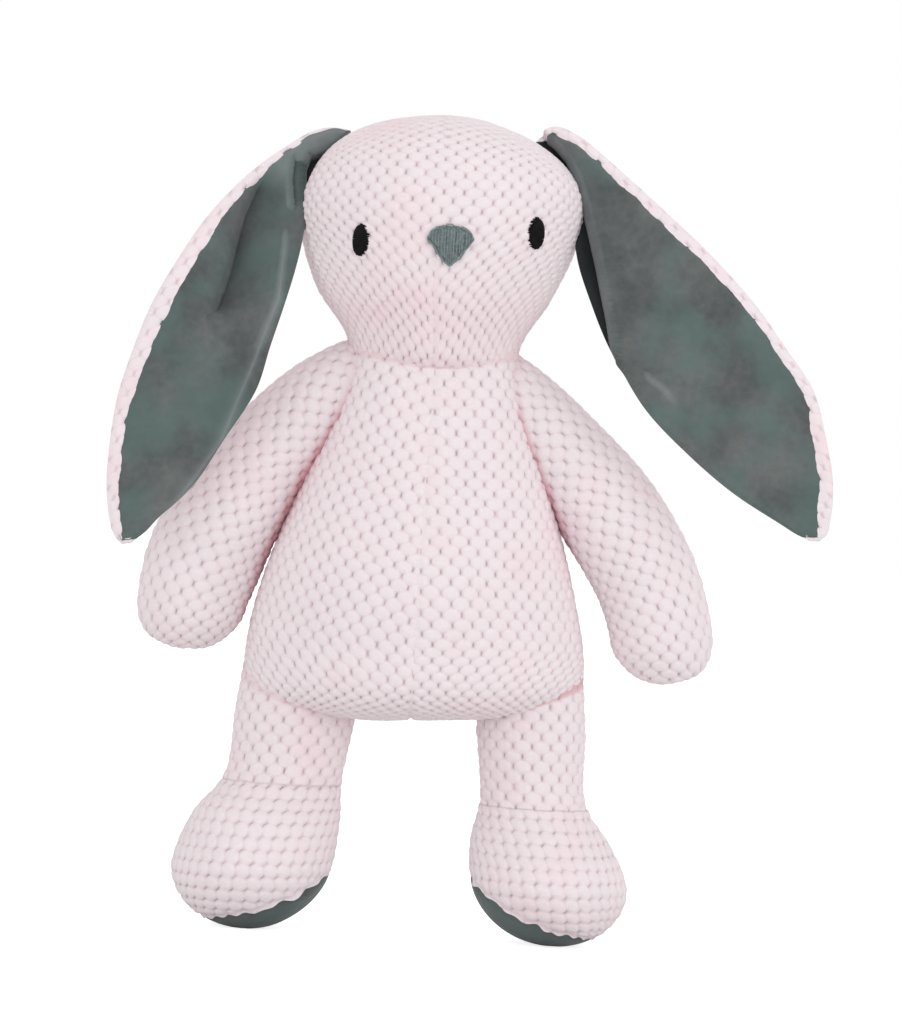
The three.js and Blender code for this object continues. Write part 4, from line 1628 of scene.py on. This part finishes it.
@dataclass
class Ear(Part):
    """A long ear: a plush back that shows as a rim round its grey velour lining.

    Attributes:
        side: Which ear it is.
        shape: Its lines and folds.
        waves: Soft unevenness of the cloth.
        bow: How far the cloth turns from its line at either edge, in degrees.
        ripple: How far its small waves turn it, in degrees.
        thickness: Thickness of the plush, in metres.
        plush_inset: How far the plush stays inside the ear's inner and outer edge.
        lining_height: How far the lining lies over the plush.
        lining_depth: How far it reaches into the plush.
        lining_end: Where it ends along the ear, as a share.
        puff: Height of the plush's cells, which are pressed flat on the ears.
        soft_pits: How much softer the pits of the plush are, 0 to 1.
        spacing: Distance between grid points, in metres.
        fine_rows: Lines across the ear that its shape is worked out on.
        fine_columns: Places on each of these lines.
    """

    side: Side = Side.LEFT
    shape: EarShape = EarShape((), (), 0)
    waves: Lumps = Lumps(1.0 * MM, 38 * MM, 3)
    bow: float = 14
    ripple: float = 9
    thickness: float = 2.6 * MM
    plush_inset: Pair = (1.2 * MM, 0.8 * MM)
    lining_height: float = 1.0 * MM
    lining_depth: float = 0.6 * MM
    lining_end: float = 0.993
    puff: float = 0.5 * MM
    soft_pits: float = 0.55
    spacing: float = 0.75 * MM
    fine_rows: int = 420
    fine_columns: int = 161

    def _frame(self, count: int) -> dict[str, np.ndarray]:
        """Follows the ear from its root to its tip.

        Args:
            count: At how many even distances.

        Returns:
            centre, across, front, half (its half width), rim, length and share, one row per
            distance. length is measured from the root in metres and share is from 0 to 1.
        """
        rows = np.array([[*s.outer, *s.inner, s.forward, s.rim] for s in self.shape.stations])
        fine = spline(rows, count) * MM
        sign = self.side.value
        forward = fine[:, 4] + BODY_Y
        outer = np.stack([fine[:, 0] * sign + BODY_X, forward, fine[:, 1]], axis=1)
        inner = np.stack([fine[:, 2] * sign + BODY_X, forward, fine[:, 3]], axis=1)
        centre = (outer + inner) / 2
        width = np.linalg.norm(outer - inner, axis=1)
        across = (outer - inner) / width[:, None]
        along = np.gradient(centre, axis=0)
        along /= np.linalg.norm(along, axis=1, keepdims=True)
        front = np.cross(across, along)
        front /= np.linalg.norm(front, axis=1, keepdims=True)
        front *= -np.sign(front[:, 1:2])
        steps = np.linalg.norm(np.diff(centre, axis=0), axis=1)
        length = np.concatenate([[0.0], np.cumsum(steps)])
        return {
            "centre": centre, "across": across, "front": front, "half": width / 2,
            "rim": np.maximum(fine[:, 5], 0.3 * MM), "length": length,
            "share": length / length[-1],
        }

    def _section(
        self, frame: dict[str, np.ndarray], u: np.ndarray
    ) -> tuple[np.ndarray, np.ndarray]:
        """Bends the flat cloth across the ear, and keeps its two edges in place.

        Args:
            frame: The ear's frame.
            u: Places across the ear from -1, its inner edge, to 1.

        Returns:
            How far each place lies across and in front of the ear's line, in metres.
        """
        share, half = frame["share"][:, None], frame["half"][:, None]
        angle = np.radians(self.bow) * u[None, :] * np.ones_like(share)
        random = np.random.default_rng(self.shape.seed)
        for turns in (1.5, 2.3, 3.7):
            phase = random.uniform(0, 2 * math.pi)
            wave = np.sin(turns * math.pi * u[None, :] + phase + 4 * share) / turns
            angle = angle + math.radians(self.ripple) * wave
        step = (u[1] - u[0]) * half
        x = np.cumsum(np.cos(angle) * step, axis=1)
        y = np.cumsum(np.sin(angle) * step, axis=1)
        middle = len(u) // 2
        x -= x[:, :1]
        x = (2 * x / x[:, -1:] - 1) * half
        return x, y - y[:, middle : middle + 1]

    def _grid(self, rims: tuple[object, object], lift: float, end: float = 1.0) -> Grid:
        """One side of the cloth as a grid.

        Args:
            rims: Distances of its inner and outer edge from the ear's edges, in metres, each
                one number or one for every line across the ear.
            lift: How far in front of the ear's middle surface it lies, in metres.
            end: Where it ends along the ear, as a share.

        Returns:
            The grid, with its cloth measured across and along the ear.
        """
        frame = self._frame(self.fine_rows)
        u = np.linspace(-1, 1, self.fine_columns)
        x, y = self._section(frame, u)
        surface = frame["centre"][:, None, :] + frame["across"][:, None, :] * x[..., None]
        flat = np.stack([(surface[..., 0] - BODY_X) * self.side.value, surface[..., 2]], axis=-1)
        crease = np.zeros_like(x)
        # Each pleat's painted shade and lighter line go into the crease attribute.
        for pleat in self.shape.pleats:
            fallen, shade = pleat.press(flat)
            y = y - fallen
            crease = np.where(np.abs(shade) > np.abs(crease), shade, crease)
        y = y + self.waves.at(surface)
        surface = surface + frame["front"][:, None, :] * y[..., None]
        length = frame["length"][-1]
        rows = int(length * end / self.spacing)
        columns = int(frame["half"].max() * 2 / self.spacing)
        at_rows = np.interp(np.linspace(0, end, rows), frame["share"], np.arange(self.fine_rows))
        picked = np.clip(at_rows.astype(int), 0, self.fine_rows - 2)
        mixed = (at_rows - picked)[:, None, None]
        surface = np.concatenate([surface, crease[..., None]], axis=-1)
        surface = surface[picked] * (1 - mixed) + surface[picked + 1] * mixed
        half = np.interp(at_rows, np.arange(self.fine_rows), frame["half"])
        inner, outer = (
            np.interp(at_rows, np.arange(self.fine_rows), np.broadcast_to(rim, self.fine_rows))
            for rim in rims
        )
        low_u = -1 + np.minimum(inner / half, 0.9)
        high_u = 1 - np.minimum(outer / half, 0.8)
        spread = np.linspace(0, 1, columns)
        places = low_u[:, None] + (high_u - low_u)[:, None] * spread
        at = (places + 1) / 2 * (len(u) - 1)
        low = np.clip(at.astype(int), 0, len(u) - 2)
        part = (at - low)[..., None]
        line = np.arange(rows)[:, None]
        points = surface[line, low] * (1 - part) + surface[line, low + 1] * part
        s = places * half[:, None]
        t = np.repeat(np.linspace(0, end, rows)[:, None] * length, columns, axis=1)
        edge = np.minimum(s - s[:, :1], s[:, -1:] - s)
        edge = np.minimum(edge, np.minimum(t, end * length - t))
        points, crease = points[..., :3], points[..., 3]
        grid = Grid(points, np.stack([s, t], axis=-1), np.maximum(edge, 0), crease)
        normal = grid.normals()
        towards = np.sign((normal * np.array([0.0, -1.0, 0.0])).sum(axis=-1).sum())
        grid.points = grid.points + normal * towards * lift
        return grid

    @staticmethod
    def _closed(name: str, front: Grid, back: Grid) -> Thing:
        """Closes a front and a back grid of equal size into one body.

        Args:
            name: Name of the new object.
            front: The side that shows.
            back: The side behind it.

        Returns:
            The closed object.
        """
        loops = []
        for pick in (np.s_[0, :], np.s_[-1, :], np.s_[:, 0], np.s_[:, -1]):
            strip = Grid(
                np.stack([front.points[pick], back.points[pick]], axis=0),
                np.stack([front.cloth[pick], back.cloth[pick]], axis=0),
                np.zeros((2, len(front.points[pick]))),
                np.stack([front.crease[pick], back.crease[pick]], axis=0),
            )
            loops.append(strip)
        thing = mesh_object(name, [front, back, *loops])
        form = bmesh.new()
        form.from_mesh(thing.data)
        bmesh.ops.recalc_face_normals(form, faces=form.faces)
        form.to_mesh(thing.data)
        form.free()
        return thing

    def build(self) -> list[Thing]:
        """Builds the back and the lining.

        Returns:
            The plush back and the velour lining.
        """
        word = self.side.word
        plush, lining = self._plush_back(), self._velour_lining()
        frame = self._frame(200)
        for thing, slot in ((plush, "plush"), (lining, "velour")):
            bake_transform(thing)
            report(thing)
        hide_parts(f"ear_{word}_back")
        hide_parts(f"ear_{word}_lining")
        return [plush, lining]

    def _plush_back(self) -> Thing:
        """Builds the plush sheet with its rounded edges."""
        inset = self.plush_inset
        front = self._grid(inset, self.thickness / 2)
        back = self._grid(inset, -self.thickness / 2)
        front.crease = back.crease = np.full_like(front.crease, -self.soft_pits)
        middle = (front.points + back.points) / 2
        for grid in (front, back):
            rounding = 0.85 * bell(grid.edge, 1.6 * MM)
            grid.points = grid.points + (middle - grid.points) * rounding[..., None]
        plush = self._closed(f"ear_{self.side.word}_plush", front, back)
        return self.popcorn.apply(plush, Fabric=self.fabrics["plush"], Puff=self.puff)

    def _velour_lining(self) -> Thing:
        """Builds the lining, whose outer edge wanders a little beside the rim."""
        line = np.arange(self.fine_rows) / self.fine_rows
        uneven = 0.22 * MM * (np.sin(47 * line + self.shape.seed) + np.sin(89 * line))
        inner = 1.0 * MM * smoothstep(0.96, 1.0, line)
        rims = (inner, self._frame(self.fine_rows)["rim"] + uneven)
        front = self.thickness / 2
        top = self._grid(rims, front + self.lining_height, self.lining_end)
        under = self._grid(rims, front - self.lining_depth, self.lining_end)
        rounding = 0.8 * bell(top.edge, 1.5 * MM)
        top.points = top.points + (under.points - top.points) * rounding[..., None]
        lining = self._closed(f"ear_{self.side.word}_velour", top, under)
        return self.popcorn.apply(lining, Fabric=self.fabrics["velour"], Puff=0.0)


# Embroidery


class SatinStitch(FormTree):
    """The geometry node tree that turns lines into threads."""

    SIDES = 6

    def __init__(self) -> None:
        """Starts the tree with the thread's radius as its input."""
        super().__init__("satin_stitch", {"Thread radius": THREAD_RADIUS})

    def _write(self) -> Socket:
        """Sweeps a small circle along the lines.

        Returns:
            The threads.
        """
        scribe, given = self.scribe, self.given
        lines = scribe.node("GeometryNodeMeshToCurve")
        scribe.link(given.outputs["Geometry"], lines.inputs["Mesh"])
        circle = scribe.node("GeometryNodeCurvePrimitiveCircle")
        circle.inputs["Resolution"].default_value = self.SIDES
        scribe.link(given.outputs["Thread radius"], circle.inputs["Radius"])
        tube = scribe.node("GeometryNodeCurveToMesh")
        tube.inputs["Fill Caps"].default_value = True
        scribe.link(lines.outputs[0], tube.inputs["Curve"])
        scribe.link(circle.outputs["Curve"], tube.inputs["Profile Curve"])
        return tube.outputs[0]

    def sew(
        self, name: str, lines: list[np.ndarray], fabric: Material, radius: float
    ) -> Thing:
        """Makes one object of threads.

        Args:
            name: Name of the object.
            lines: Points along each thread, in metres.
            fabric: The thread's material.
            radius: Radius of a thread, in metres.

        Returns:
            The threads as one mesh at the origin.
        """
        mesh = bpy.data.meshes.new(name)
        points, edges, start = [], [], 0
        for line in lines:
            points.extend(line.tolist())
            edges.extend((start + k, start + k + 1) for k in range(len(line) - 1))
            start += len(line)
        mesh.from_pydata(points, edges, [])
        thing = bpy.data.objects.new(name, mesh)
        bpy.context.scene.collection.objects.link(thing)
        values = {"Fabric": fabric, "Thread_radius": radius}
        return run_tree(thing, self.tree, values)


@dataclass
class Embroidery:
    """The stitched eyes and nose on the face.

    Attributes:
        fabrics: The finished materials, by name.
        stitch: The tree that makes the threads.
        head: The head's object, which the stitches lie on.
        thread: Radius of a thread, in metres.
        height: How far the embroidery stands off the face, in metres.
        eyes: X and z of the eyes' middles, in millimetres from the body's middle.
        eye_half: Half width and half height of an eye, in millimetres.
        eye_stitches: Level stitches in each layer of an eye.
        nose_at: X of the nose's middle and z of its upper edge.
        nose_half: Its half width.
        nose_height: Its height in the middle.
        nose_stitches: Upright stitches in each layer of the nose.
    """

    fabrics: dict[str, Material]
    stitch: SatinStitch
    head: Thing
    thread: float = THREAD_RADIUS
    height: float = 0.8 * MM
    eyes: dict[Side, Pair] = field(
        default_factory=lambda: {Side.LEFT: (39.3, 299.9), Side.RIGHT: (-33.9, 292.4)}
    )
    eye_half: Pair = (3.3, 6.4)
    eye_stitches: int = 34
    nose_at: Pair = (3.6, 300.1)
    nose_half: float = 9.4
    nose_height: float = 16.2
    nose_stitches: int = 44

    def __post_init__(self) -> None:
        """Starts the random draws of the stitches' unevenness."""
        self.random = np.random.default_rng(7)

    def _on_face(self, x: float, z: float, lift: float) -> np.ndarray:
        """The point of the face behind a place, lifted off it.

        Args:
            x: Place across the face, in millimetres from the body's middle.
            z: Height of the place, in millimetres.
            lift: How far in front of the face, in metres.

        Returns:
            The point, in metres.
        """
        start = Vector(body_point(x, -120, z))
        hit, place, normal, _ = self.head.ray_cast(start, Vector((0, 1, 0)))
        if not hit:
            raise ValueError(f"no face behind {x}, {z}")
        return np.array(place + normal * lift)

    def _thread_line(
        self, start: Pair, end: Pair, lift: float
    ) -> np.ndarray:
        """Lays one stitch between two places of the face, arched over it.

        Args:
            start: X and z of its start, in millimetres.
            end: X and z of its end.
            lift: How high it arches, in metres.

        Returns:
            The points along it, in metres.
        """
        parts = np.linspace(0, 1, 9)
        places = [
            (start[0] + (end[0] - start[0]) * part, start[1] + (end[1] - start[1]) * part)
            for part in parts
        ]
        smooth = [self._on_face(x, z, 0.0) for x, z in places]
        points = np.array(smooth)
        points[:, 1] = np.convolve(np.pad(points[:, 1], 1, mode="edge"), [0.25, 0.5, 0.25], "valid")
        arch = np.sqrt(np.clip(1 - (2 * parts - 1) ** 2, 0, 1))
        points[:, 1] -= lift * arch + 0.1 * MM
        return points

    def build(self) -> list[Thing]:
        """Sews both eyes and the nose on the body head."""
        made = []
        for side, (x, z) in self.eyes.items():
            made.append(self._eye(side, x, z))
        made.append(self._nose())
        for thing in made:
            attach(thing, "head")
            report(thing)
        return made

    def _eye(self, side: Side, x: float, z: float) -> Thing:
        """Sews an eye in level stitches, ragged towards the nose.

        Args:
            side: Which eye it is.
            x: Place of its middle across the face, in millimetres.
            z: Height of its middle.

        Returns:
            The eye's threads.
        """
        half_width, half_height = self.eye_half
        lines = []
        count = self.eye_stitches
        for layer, lift in enumerate((self.height * 0.7, self.height * 1.15)):
            for k in range(count):
                level = -1 + 2 * (k + 0.5 * layer) / (count - 1)
                reach = half_width * math.sqrt(max(0.02, 1 - min(1, abs(level)) ** 2.3))
                ragged = self.random.uniform(-0.9, 0.5)
                outer, inner = reach, reach + ragged
                low, high = (-inner, outer) if side is Side.LEFT else (-outer, inner)
                slope = self.random.uniform(-0.25, 0.25)
                height = z + half_height * level
                start, end = (x + low, height - slope), (x + high, height + slope)
                lines.append(self._thread_line(start, end, lift))
        eye = self.stitch.sew(f"eye_{side.word}_thread", lines, self.fabrics["eye"], self.thread)
        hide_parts(f"eye_{side.word}")
        return eye

    def _nose_edges(self, share: float) -> Pair:
        """Follows the nose's outline.

        Args:
            share: Place across it, -1 to 1.

        Returns:
            Heights of its upper and lower edge there, in millimetres.
        """
        _, top = self.nose_at
        wide = abs(share)
        upper = top - 1.6 * wide**2 - 3.2 * wide**6
        lower = top - self.nose_height * (1 - 0.68 * wide**1.25)
        return upper, lower

    def _nose(self) -> Thing:
        """Sews the nose in upright stitches with an outline stitch round them."""
        x0, _ = self.nose_at
        lines = []
        count = self.nose_stitches
        for layer, lift in enumerate((self.height * 0.9, self.height * 1.4)):
            for k in range(count):
                share = -1 + 2 * (k + 0.5 * layer) / count
                upper, lower = self._nose_edges(share)
                x = x0 + self.nose_half * share
                upper += self.random.uniform(-0.3, 0.2)
                lower += self.random.uniform(-0.3, 0.4)
                lean = self.random.uniform(-0.2, 0.2)
                ridge = 0.55 * MM if layer and k % 3 == 1 else 0.0
                lines.append(self._thread_line((x, upper), (x + lean, lower), lift + ridge))
        for inset, lift in ((0.0, 1.5), (0.5, 2.0)):
            shares = np.linspace(-1, 1, 41) * (1 - inset / self.nose_half)
            edges = [self._nose_edges(share) for share in shares]
            above = [(x0 + self.nose_half * k, high - inset) for k, (high, _) in zip(shares, edges)]
            below = [(x0 + self.nose_half * k, low + inset) for k, (_, low) in zip(shares, edges)]
            ring = above + below[::-1] + above[:1]
            lines.append(np.array([self._on_face(x, z, self.height * lift) for x, z in ring]))
        nose = self.stitch.sew("nose_thread", lines, self.fabrics["nose"], self.thread)
        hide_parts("nose")
        return nose


# Studio


@dataclass(frozen=True)
class Softbox:
    """A large soft light that looks at the toy.

    Attributes:
        name: Name of the light.
        place: Where it stands, in metres.
        size: Length of its sides.
        watts: Its power.
    """

    name: str
    place: tuple[float, float, float]
    size: float
    watts: float

    def build(self, target: Vector) -> Thing:
        """Adds the light, turned towards a target."""
        light = bpy.data.lights.new(self.name, "AREA")
        light.shape = "SQUARE"
        light.size = self.size
        light.energy = self.watts
        thing = bpy.data.objects.new(self.name, light)
        thing.location = self.place
        direction = target - Vector(self.place)
        thing.rotation_euler = direction.to_track_quat("-Z", "Y").to_euler()
        bpy.context.scene.collection.objects.link(thing)
        return thing


@dataclass(frozen=True)
class Studio:
    """The pale floor, the white surroundings, the soft lights and the camera.

    Attributes:
        target: Where the camera and the lights look, in metres.
        distance: Distance of the camera from there.
        frame_height: Height of what the camera sees there.
        roll: How far the camera leans to the side, in degrees.
        ambient: Strength of the surroundings' light.
        floor_reach: Half length of the floor's sides, in metres.
        floor_glow: How much of the floor's brightness is its own.
        lights: The soft lights.
    """

    target: tuple[float, float, float] = (10.7 * MM + BODY_X, 0.0, 181.4 * MM)
    distance: float = 2.0
    frame_height: float = 0.4367
    roll: float = 3.5
    ambient: float = 0.6
    floor_reach: float = 20.0
    floor_glow: float = 0.8
    lights: tuple[Softbox, ...] = (
        Softbox("key", (0.1, -1.9, 0.9), 1.0, 7.4),
        Softbox("fill_right", (1.6, -0.9, 0.5), 1.0, 6.0),
        Softbox("fill_left", (-1.6, -0.9, 0.4), 1.0, 4.5),
        Softbox("top", (0.1, -0.2, 1.7), 1.2, 3.0),
    )

    def build(self) -> None:
        """Builds the studio."""
        self._floor()
        self._world()
        for light in self.lights:
            light.build(Vector(self.target))
        self._camera()
        bpy.context.scene.view_settings.view_transform = "Standard"

    def _floor(self) -> None:
        """A wide pale floor under the toy."""
        mesh = bpy.data.meshes.new("floor")
        reach = self.floor_reach
        mesh.from_pydata(
            [(-reach, -reach, 0), (reach, -reach, 0), (reach, reach, 0), (-reach, reach, 0)],
            [], [(0, 1, 2, 3)],
        )
        floor = bpy.data.objects.new("floor", mesh)
        bpy.context.scene.collection.objects.link(floor)
        material, scribe, shader = new_material("floor_white")
        shader.inputs["Base Color"].default_value = (0.9, 0.9, 0.9, 1)
        shader.inputs["Roughness"].default_value = 1.0
        shader.inputs["Specular IOR Level"].default_value = 0.0
        shader.inputs["Emission Color"].default_value = (1, 1, 1, 1)
        ray = scribe.node("ShaderNodeLightPath")
        glow = scribe.times(ray.outputs["Is Camera Ray"], self.floor_glow)
        scribe.link(glow, shader.inputs["Emission Strength"])
        mesh.materials.append(material)

    def _world(self) -> None:
        """White for the camera and a softer white as light."""
        world = bpy.data.worlds.new("studio")
        bpy.context.scene.world = world
        world.use_nodes = True
        scribe = NodeScribe(world.node_tree)
        background = world.node_tree.nodes["Background"]
        background.inputs["Color"].default_value = (1, 1, 1, 1)
        ray = scribe.node("ShaderNodeLightPath")
        straight = scribe.sum("MAXIMUM", ray.outputs["Is Camera Ray"], ray.outputs["Is Glossy Ray"])
        rest = scribe.times(scribe.minus(1.0, straight), self.ambient)
        scribe.link(scribe.plus(straight, rest), background.inputs["Strength"])

    def _camera(self) -> None:
        """A long lens that looks straight at the face, rolled like the photograph."""
        camera = bpy.data.cameras.new("camera")
        camera.sensor_width = 36.0
        camera.lens = camera.sensor_width * self.distance / self.frame_height
        thing = bpy.data.objects.new("camera", camera)
        x, y, z = self.target
        thing.location = (x, y - self.distance, z)
        thing.rotation_euler = (math.pi / 2, -math.radians(self.roll), 0)
        bpy.context.scene.collection.objects.link(thing)
        bpy.context.scene.camera = thing


LEFT_EAR = EarShape(
    stations=ear_stations(
        (38, 345.2, 33, 339.5, -1, 3.4),
        (46, 348.6, 40.5, 334, -3, 3.6),
        (56, 345, 47, 327.5, -6, 3.6),
        (66, 337.6, 50.5, 320.5, -9, 3.5),
        (82, 324, 54, 305.5, -14, 4.4),
        (96.3, 311.8, 57.5, 290, -20, 5.1),
        (116.3, 293.8, 64.5, 272, -26, 5.1),
        (133.8, 275.8, 71, 257.5, -31, 4.5),
        (148.3, 257.3, 79, 243, -34, 4.7),
        (159.8, 241.8, 90.5, 227, -35, 4.7),
        (166, 222.8, 107.5, 211.5, -36, 5.2),
        (170.5, 202.5, 129, 195.5, -36, 6.0),
        (170.3, 187, 149, 184.2, -36, 5.4),
        (169.3, 181.8, 155.5, 180.6, -36, 4.0),
        (166.2, 178.4, 160, 178.6, -36, 2.0),
    ),
    pleats=(
        Pleat(
            line=((26, 356), (38, 347), (46, 341), (51.5, 335), (56.8, 324.5), (60.4, 314),
                  (67, 290.6), (72.4, 269.5), (77, 250), (79.5, 240)),
            drop=9 * MM, width=1.3 * MM, reach=60 * MM, dark=0.95, highlight_and_wear=0.2, highlight_and_wear_width=0.7 * MM,
            fade=20 * MM,
        ),
        Pleat(line=((84, 246), (90, 240.5), (96, 237), (103, 229)), drop=0.4 * MM, width=0.8 * MM,
              reach=4 * MM, highlight_and_wear=0.2, highlight_and_wear_width=1.6 * MM, fade=9 * MM),
        Pleat(line=((74, 300), (84, 280), (88, 258), (96, 240)), drop=1.2 * MM, width=6 * MM,
              reach=14 * MM, dark=0.12),
    ),
    seed=4,
)
RIGHT_EAR = EarShape(
    stations=ear_stations(
        (39, 341, 34, 335.5, -1, 1.3),
        (51, 342, 42, 330, -4, 1.4),
        (60, 339.2, 48, 325.5, -7, 1.7),
        (67, 334.4, 51.5, 322.5, -9, 2.4),
        (83.3, 320.8, 57.5, 307.5, -14, 3.6),
        (99.7, 300.4, 59, 291, -20, 5.6),
        (111.2, 279.9, 61, 278, -26, 7.4),
        (120.7, 260.4, 64.5, 262.5, -31, 7.9),
        (127.3, 241, 69, 245.5, -34, 7.3),
        (132.4, 222, 74, 226.5, -35, 6.2),
        (134.5, 202.5, 86, 205.5, -36, 5.4),
        (134.8, 184, 97.5, 186, -36, 5.0),
        (132.6, 169, 112, 170.5, -36, 4.3),
        (130.6, 163, 116.3, 165.2, -36, 3.4),
        (127.2, 159.3, 121, 160.6, -36, 2.0),
    ),
    pleats=(
        Pleat(line=((34, 348), (50, 342), (62, 333), (73, 316)), drop=0.0, highlight_and_wear=0.28,
              highlight_and_wear_at=0.0, highlight_and_wear_width=7 * MM, fade=9 * MM),
        Pleat(
            line=((33, 345), (41.3, 340.6), (52.4, 333.1), (59, 330.5), (60.8, 325), (60.5, 316.8),
                  (58.5, 299.8), (56, 285)),
            drop=11 * MM, width=0.9 * MM, reach=30 * MM, dark=0.85, fade=8 * MM,
        ),
        Pleat(
            line=((76, 322), (82, 313.8), (86.2, 302.6), (87.8, 294.9), (90.8, 277.5),
                  (95.1, 261.3), (99, 255)),
            drop=5 * MM, width=2.0 * MM, reach=9 * MM, dark=0.62, fade=10 * MM,
        ),
        Pleat(
            line=((65.5, 331), (66.2, 328), (66.5, 318.5), (64.5, 306.7), (62, 302)),
            drop=3.6 * MM, width=0.8 * MM, reach=3.5 * MM, dark=0.75, highlight_and_wear=0.22,
            highlight_and_wear_width=0.8 * MM, fade=6 * MM,
        ),
        Pleat(
            line=((98, 260), (96.5, 256), (94.4, 251.6), (86.4, 245.6), (82, 243)),
            drop=-1.8 * MM, width=1.6 * MM, reach=7 * MM, highlight_and_wear=0.1, highlight_and_wear_width=1.5 * MM,
            fade=7 * MM,
        ),
        Pleat(
            line=((67.5, 302), (67.8, 292), (68.8, 265.8), (77.3, 239), (88.2, 207), (106.9, 177.2),
                  (112, 170)),
            drop=2.6 * MM, width=2.5 * MM, reach=40 * MM, highlight_and_wear=0.36, highlight_and_wear_at=1.6 * MM,
            highlight_and_wear_width=1.9 * MM, fade=20 * MM,
        ),
    ),
    seed=9,
)


def main() -> None:
    """Builds the bunny and its studio."""
    logging.basicConfig(level=logging.INFO, format="%(name)s %(message)s")
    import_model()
    fabrics = {
        "plush": PlushFinish().build(),
        "velour": VelourFinish().build(),
        "eye": ThreadFinish("eye_thread", linear(10, 10, 10), 0.7, 0.2).build(),
        "nose": ThreadFinish("nose_thread", linear(138, 153, 154)).build(),
    }
    popcorn = PopcornForm()
    torso, head = Torso(fabrics, popcorn), Head(fabrics, popcorn)
    torso.build(head.form)
    face = head.build(torso.form)
    Arm(fabrics, popcorn).build(torso)
    Arm(
        fabrics, popcorn, Side.RIGHT, root=(21, 242.5), shoulder=(38, 232.5), upper=(54, 219),
        elbow=(76, 189.5), fore=(92.8, 156), hand=(98, 133), end=(98.3, 116.5),
        fore_width=24.6, hand_width=22.8,
    ).build(torso)
    Leg(fabrics, popcorn).build(torso)
    Leg(
        fabrics, popcorn, Side.RIGHT, ankle=62, top=(50.3, 25.5), ankle_ring=(54, 25),
        instep_ring=(59.7, 31), foot_ring=(64.3, 33.9), sole_ring=(67.6, 33.7), sole_round=30,
        seam_shade=0.2,
    ).build(torso)
    Ear(fabrics, popcorn, Side.LEFT, LEFT_EAR).build()
    Ear(fabrics, popcorn, Side.RIGHT, RIGHT_EAR).build()
    Embroidery(fabrics, SatinStitch(), face).build()
    Studio().build()


if __name__ == "__main__":
    main()
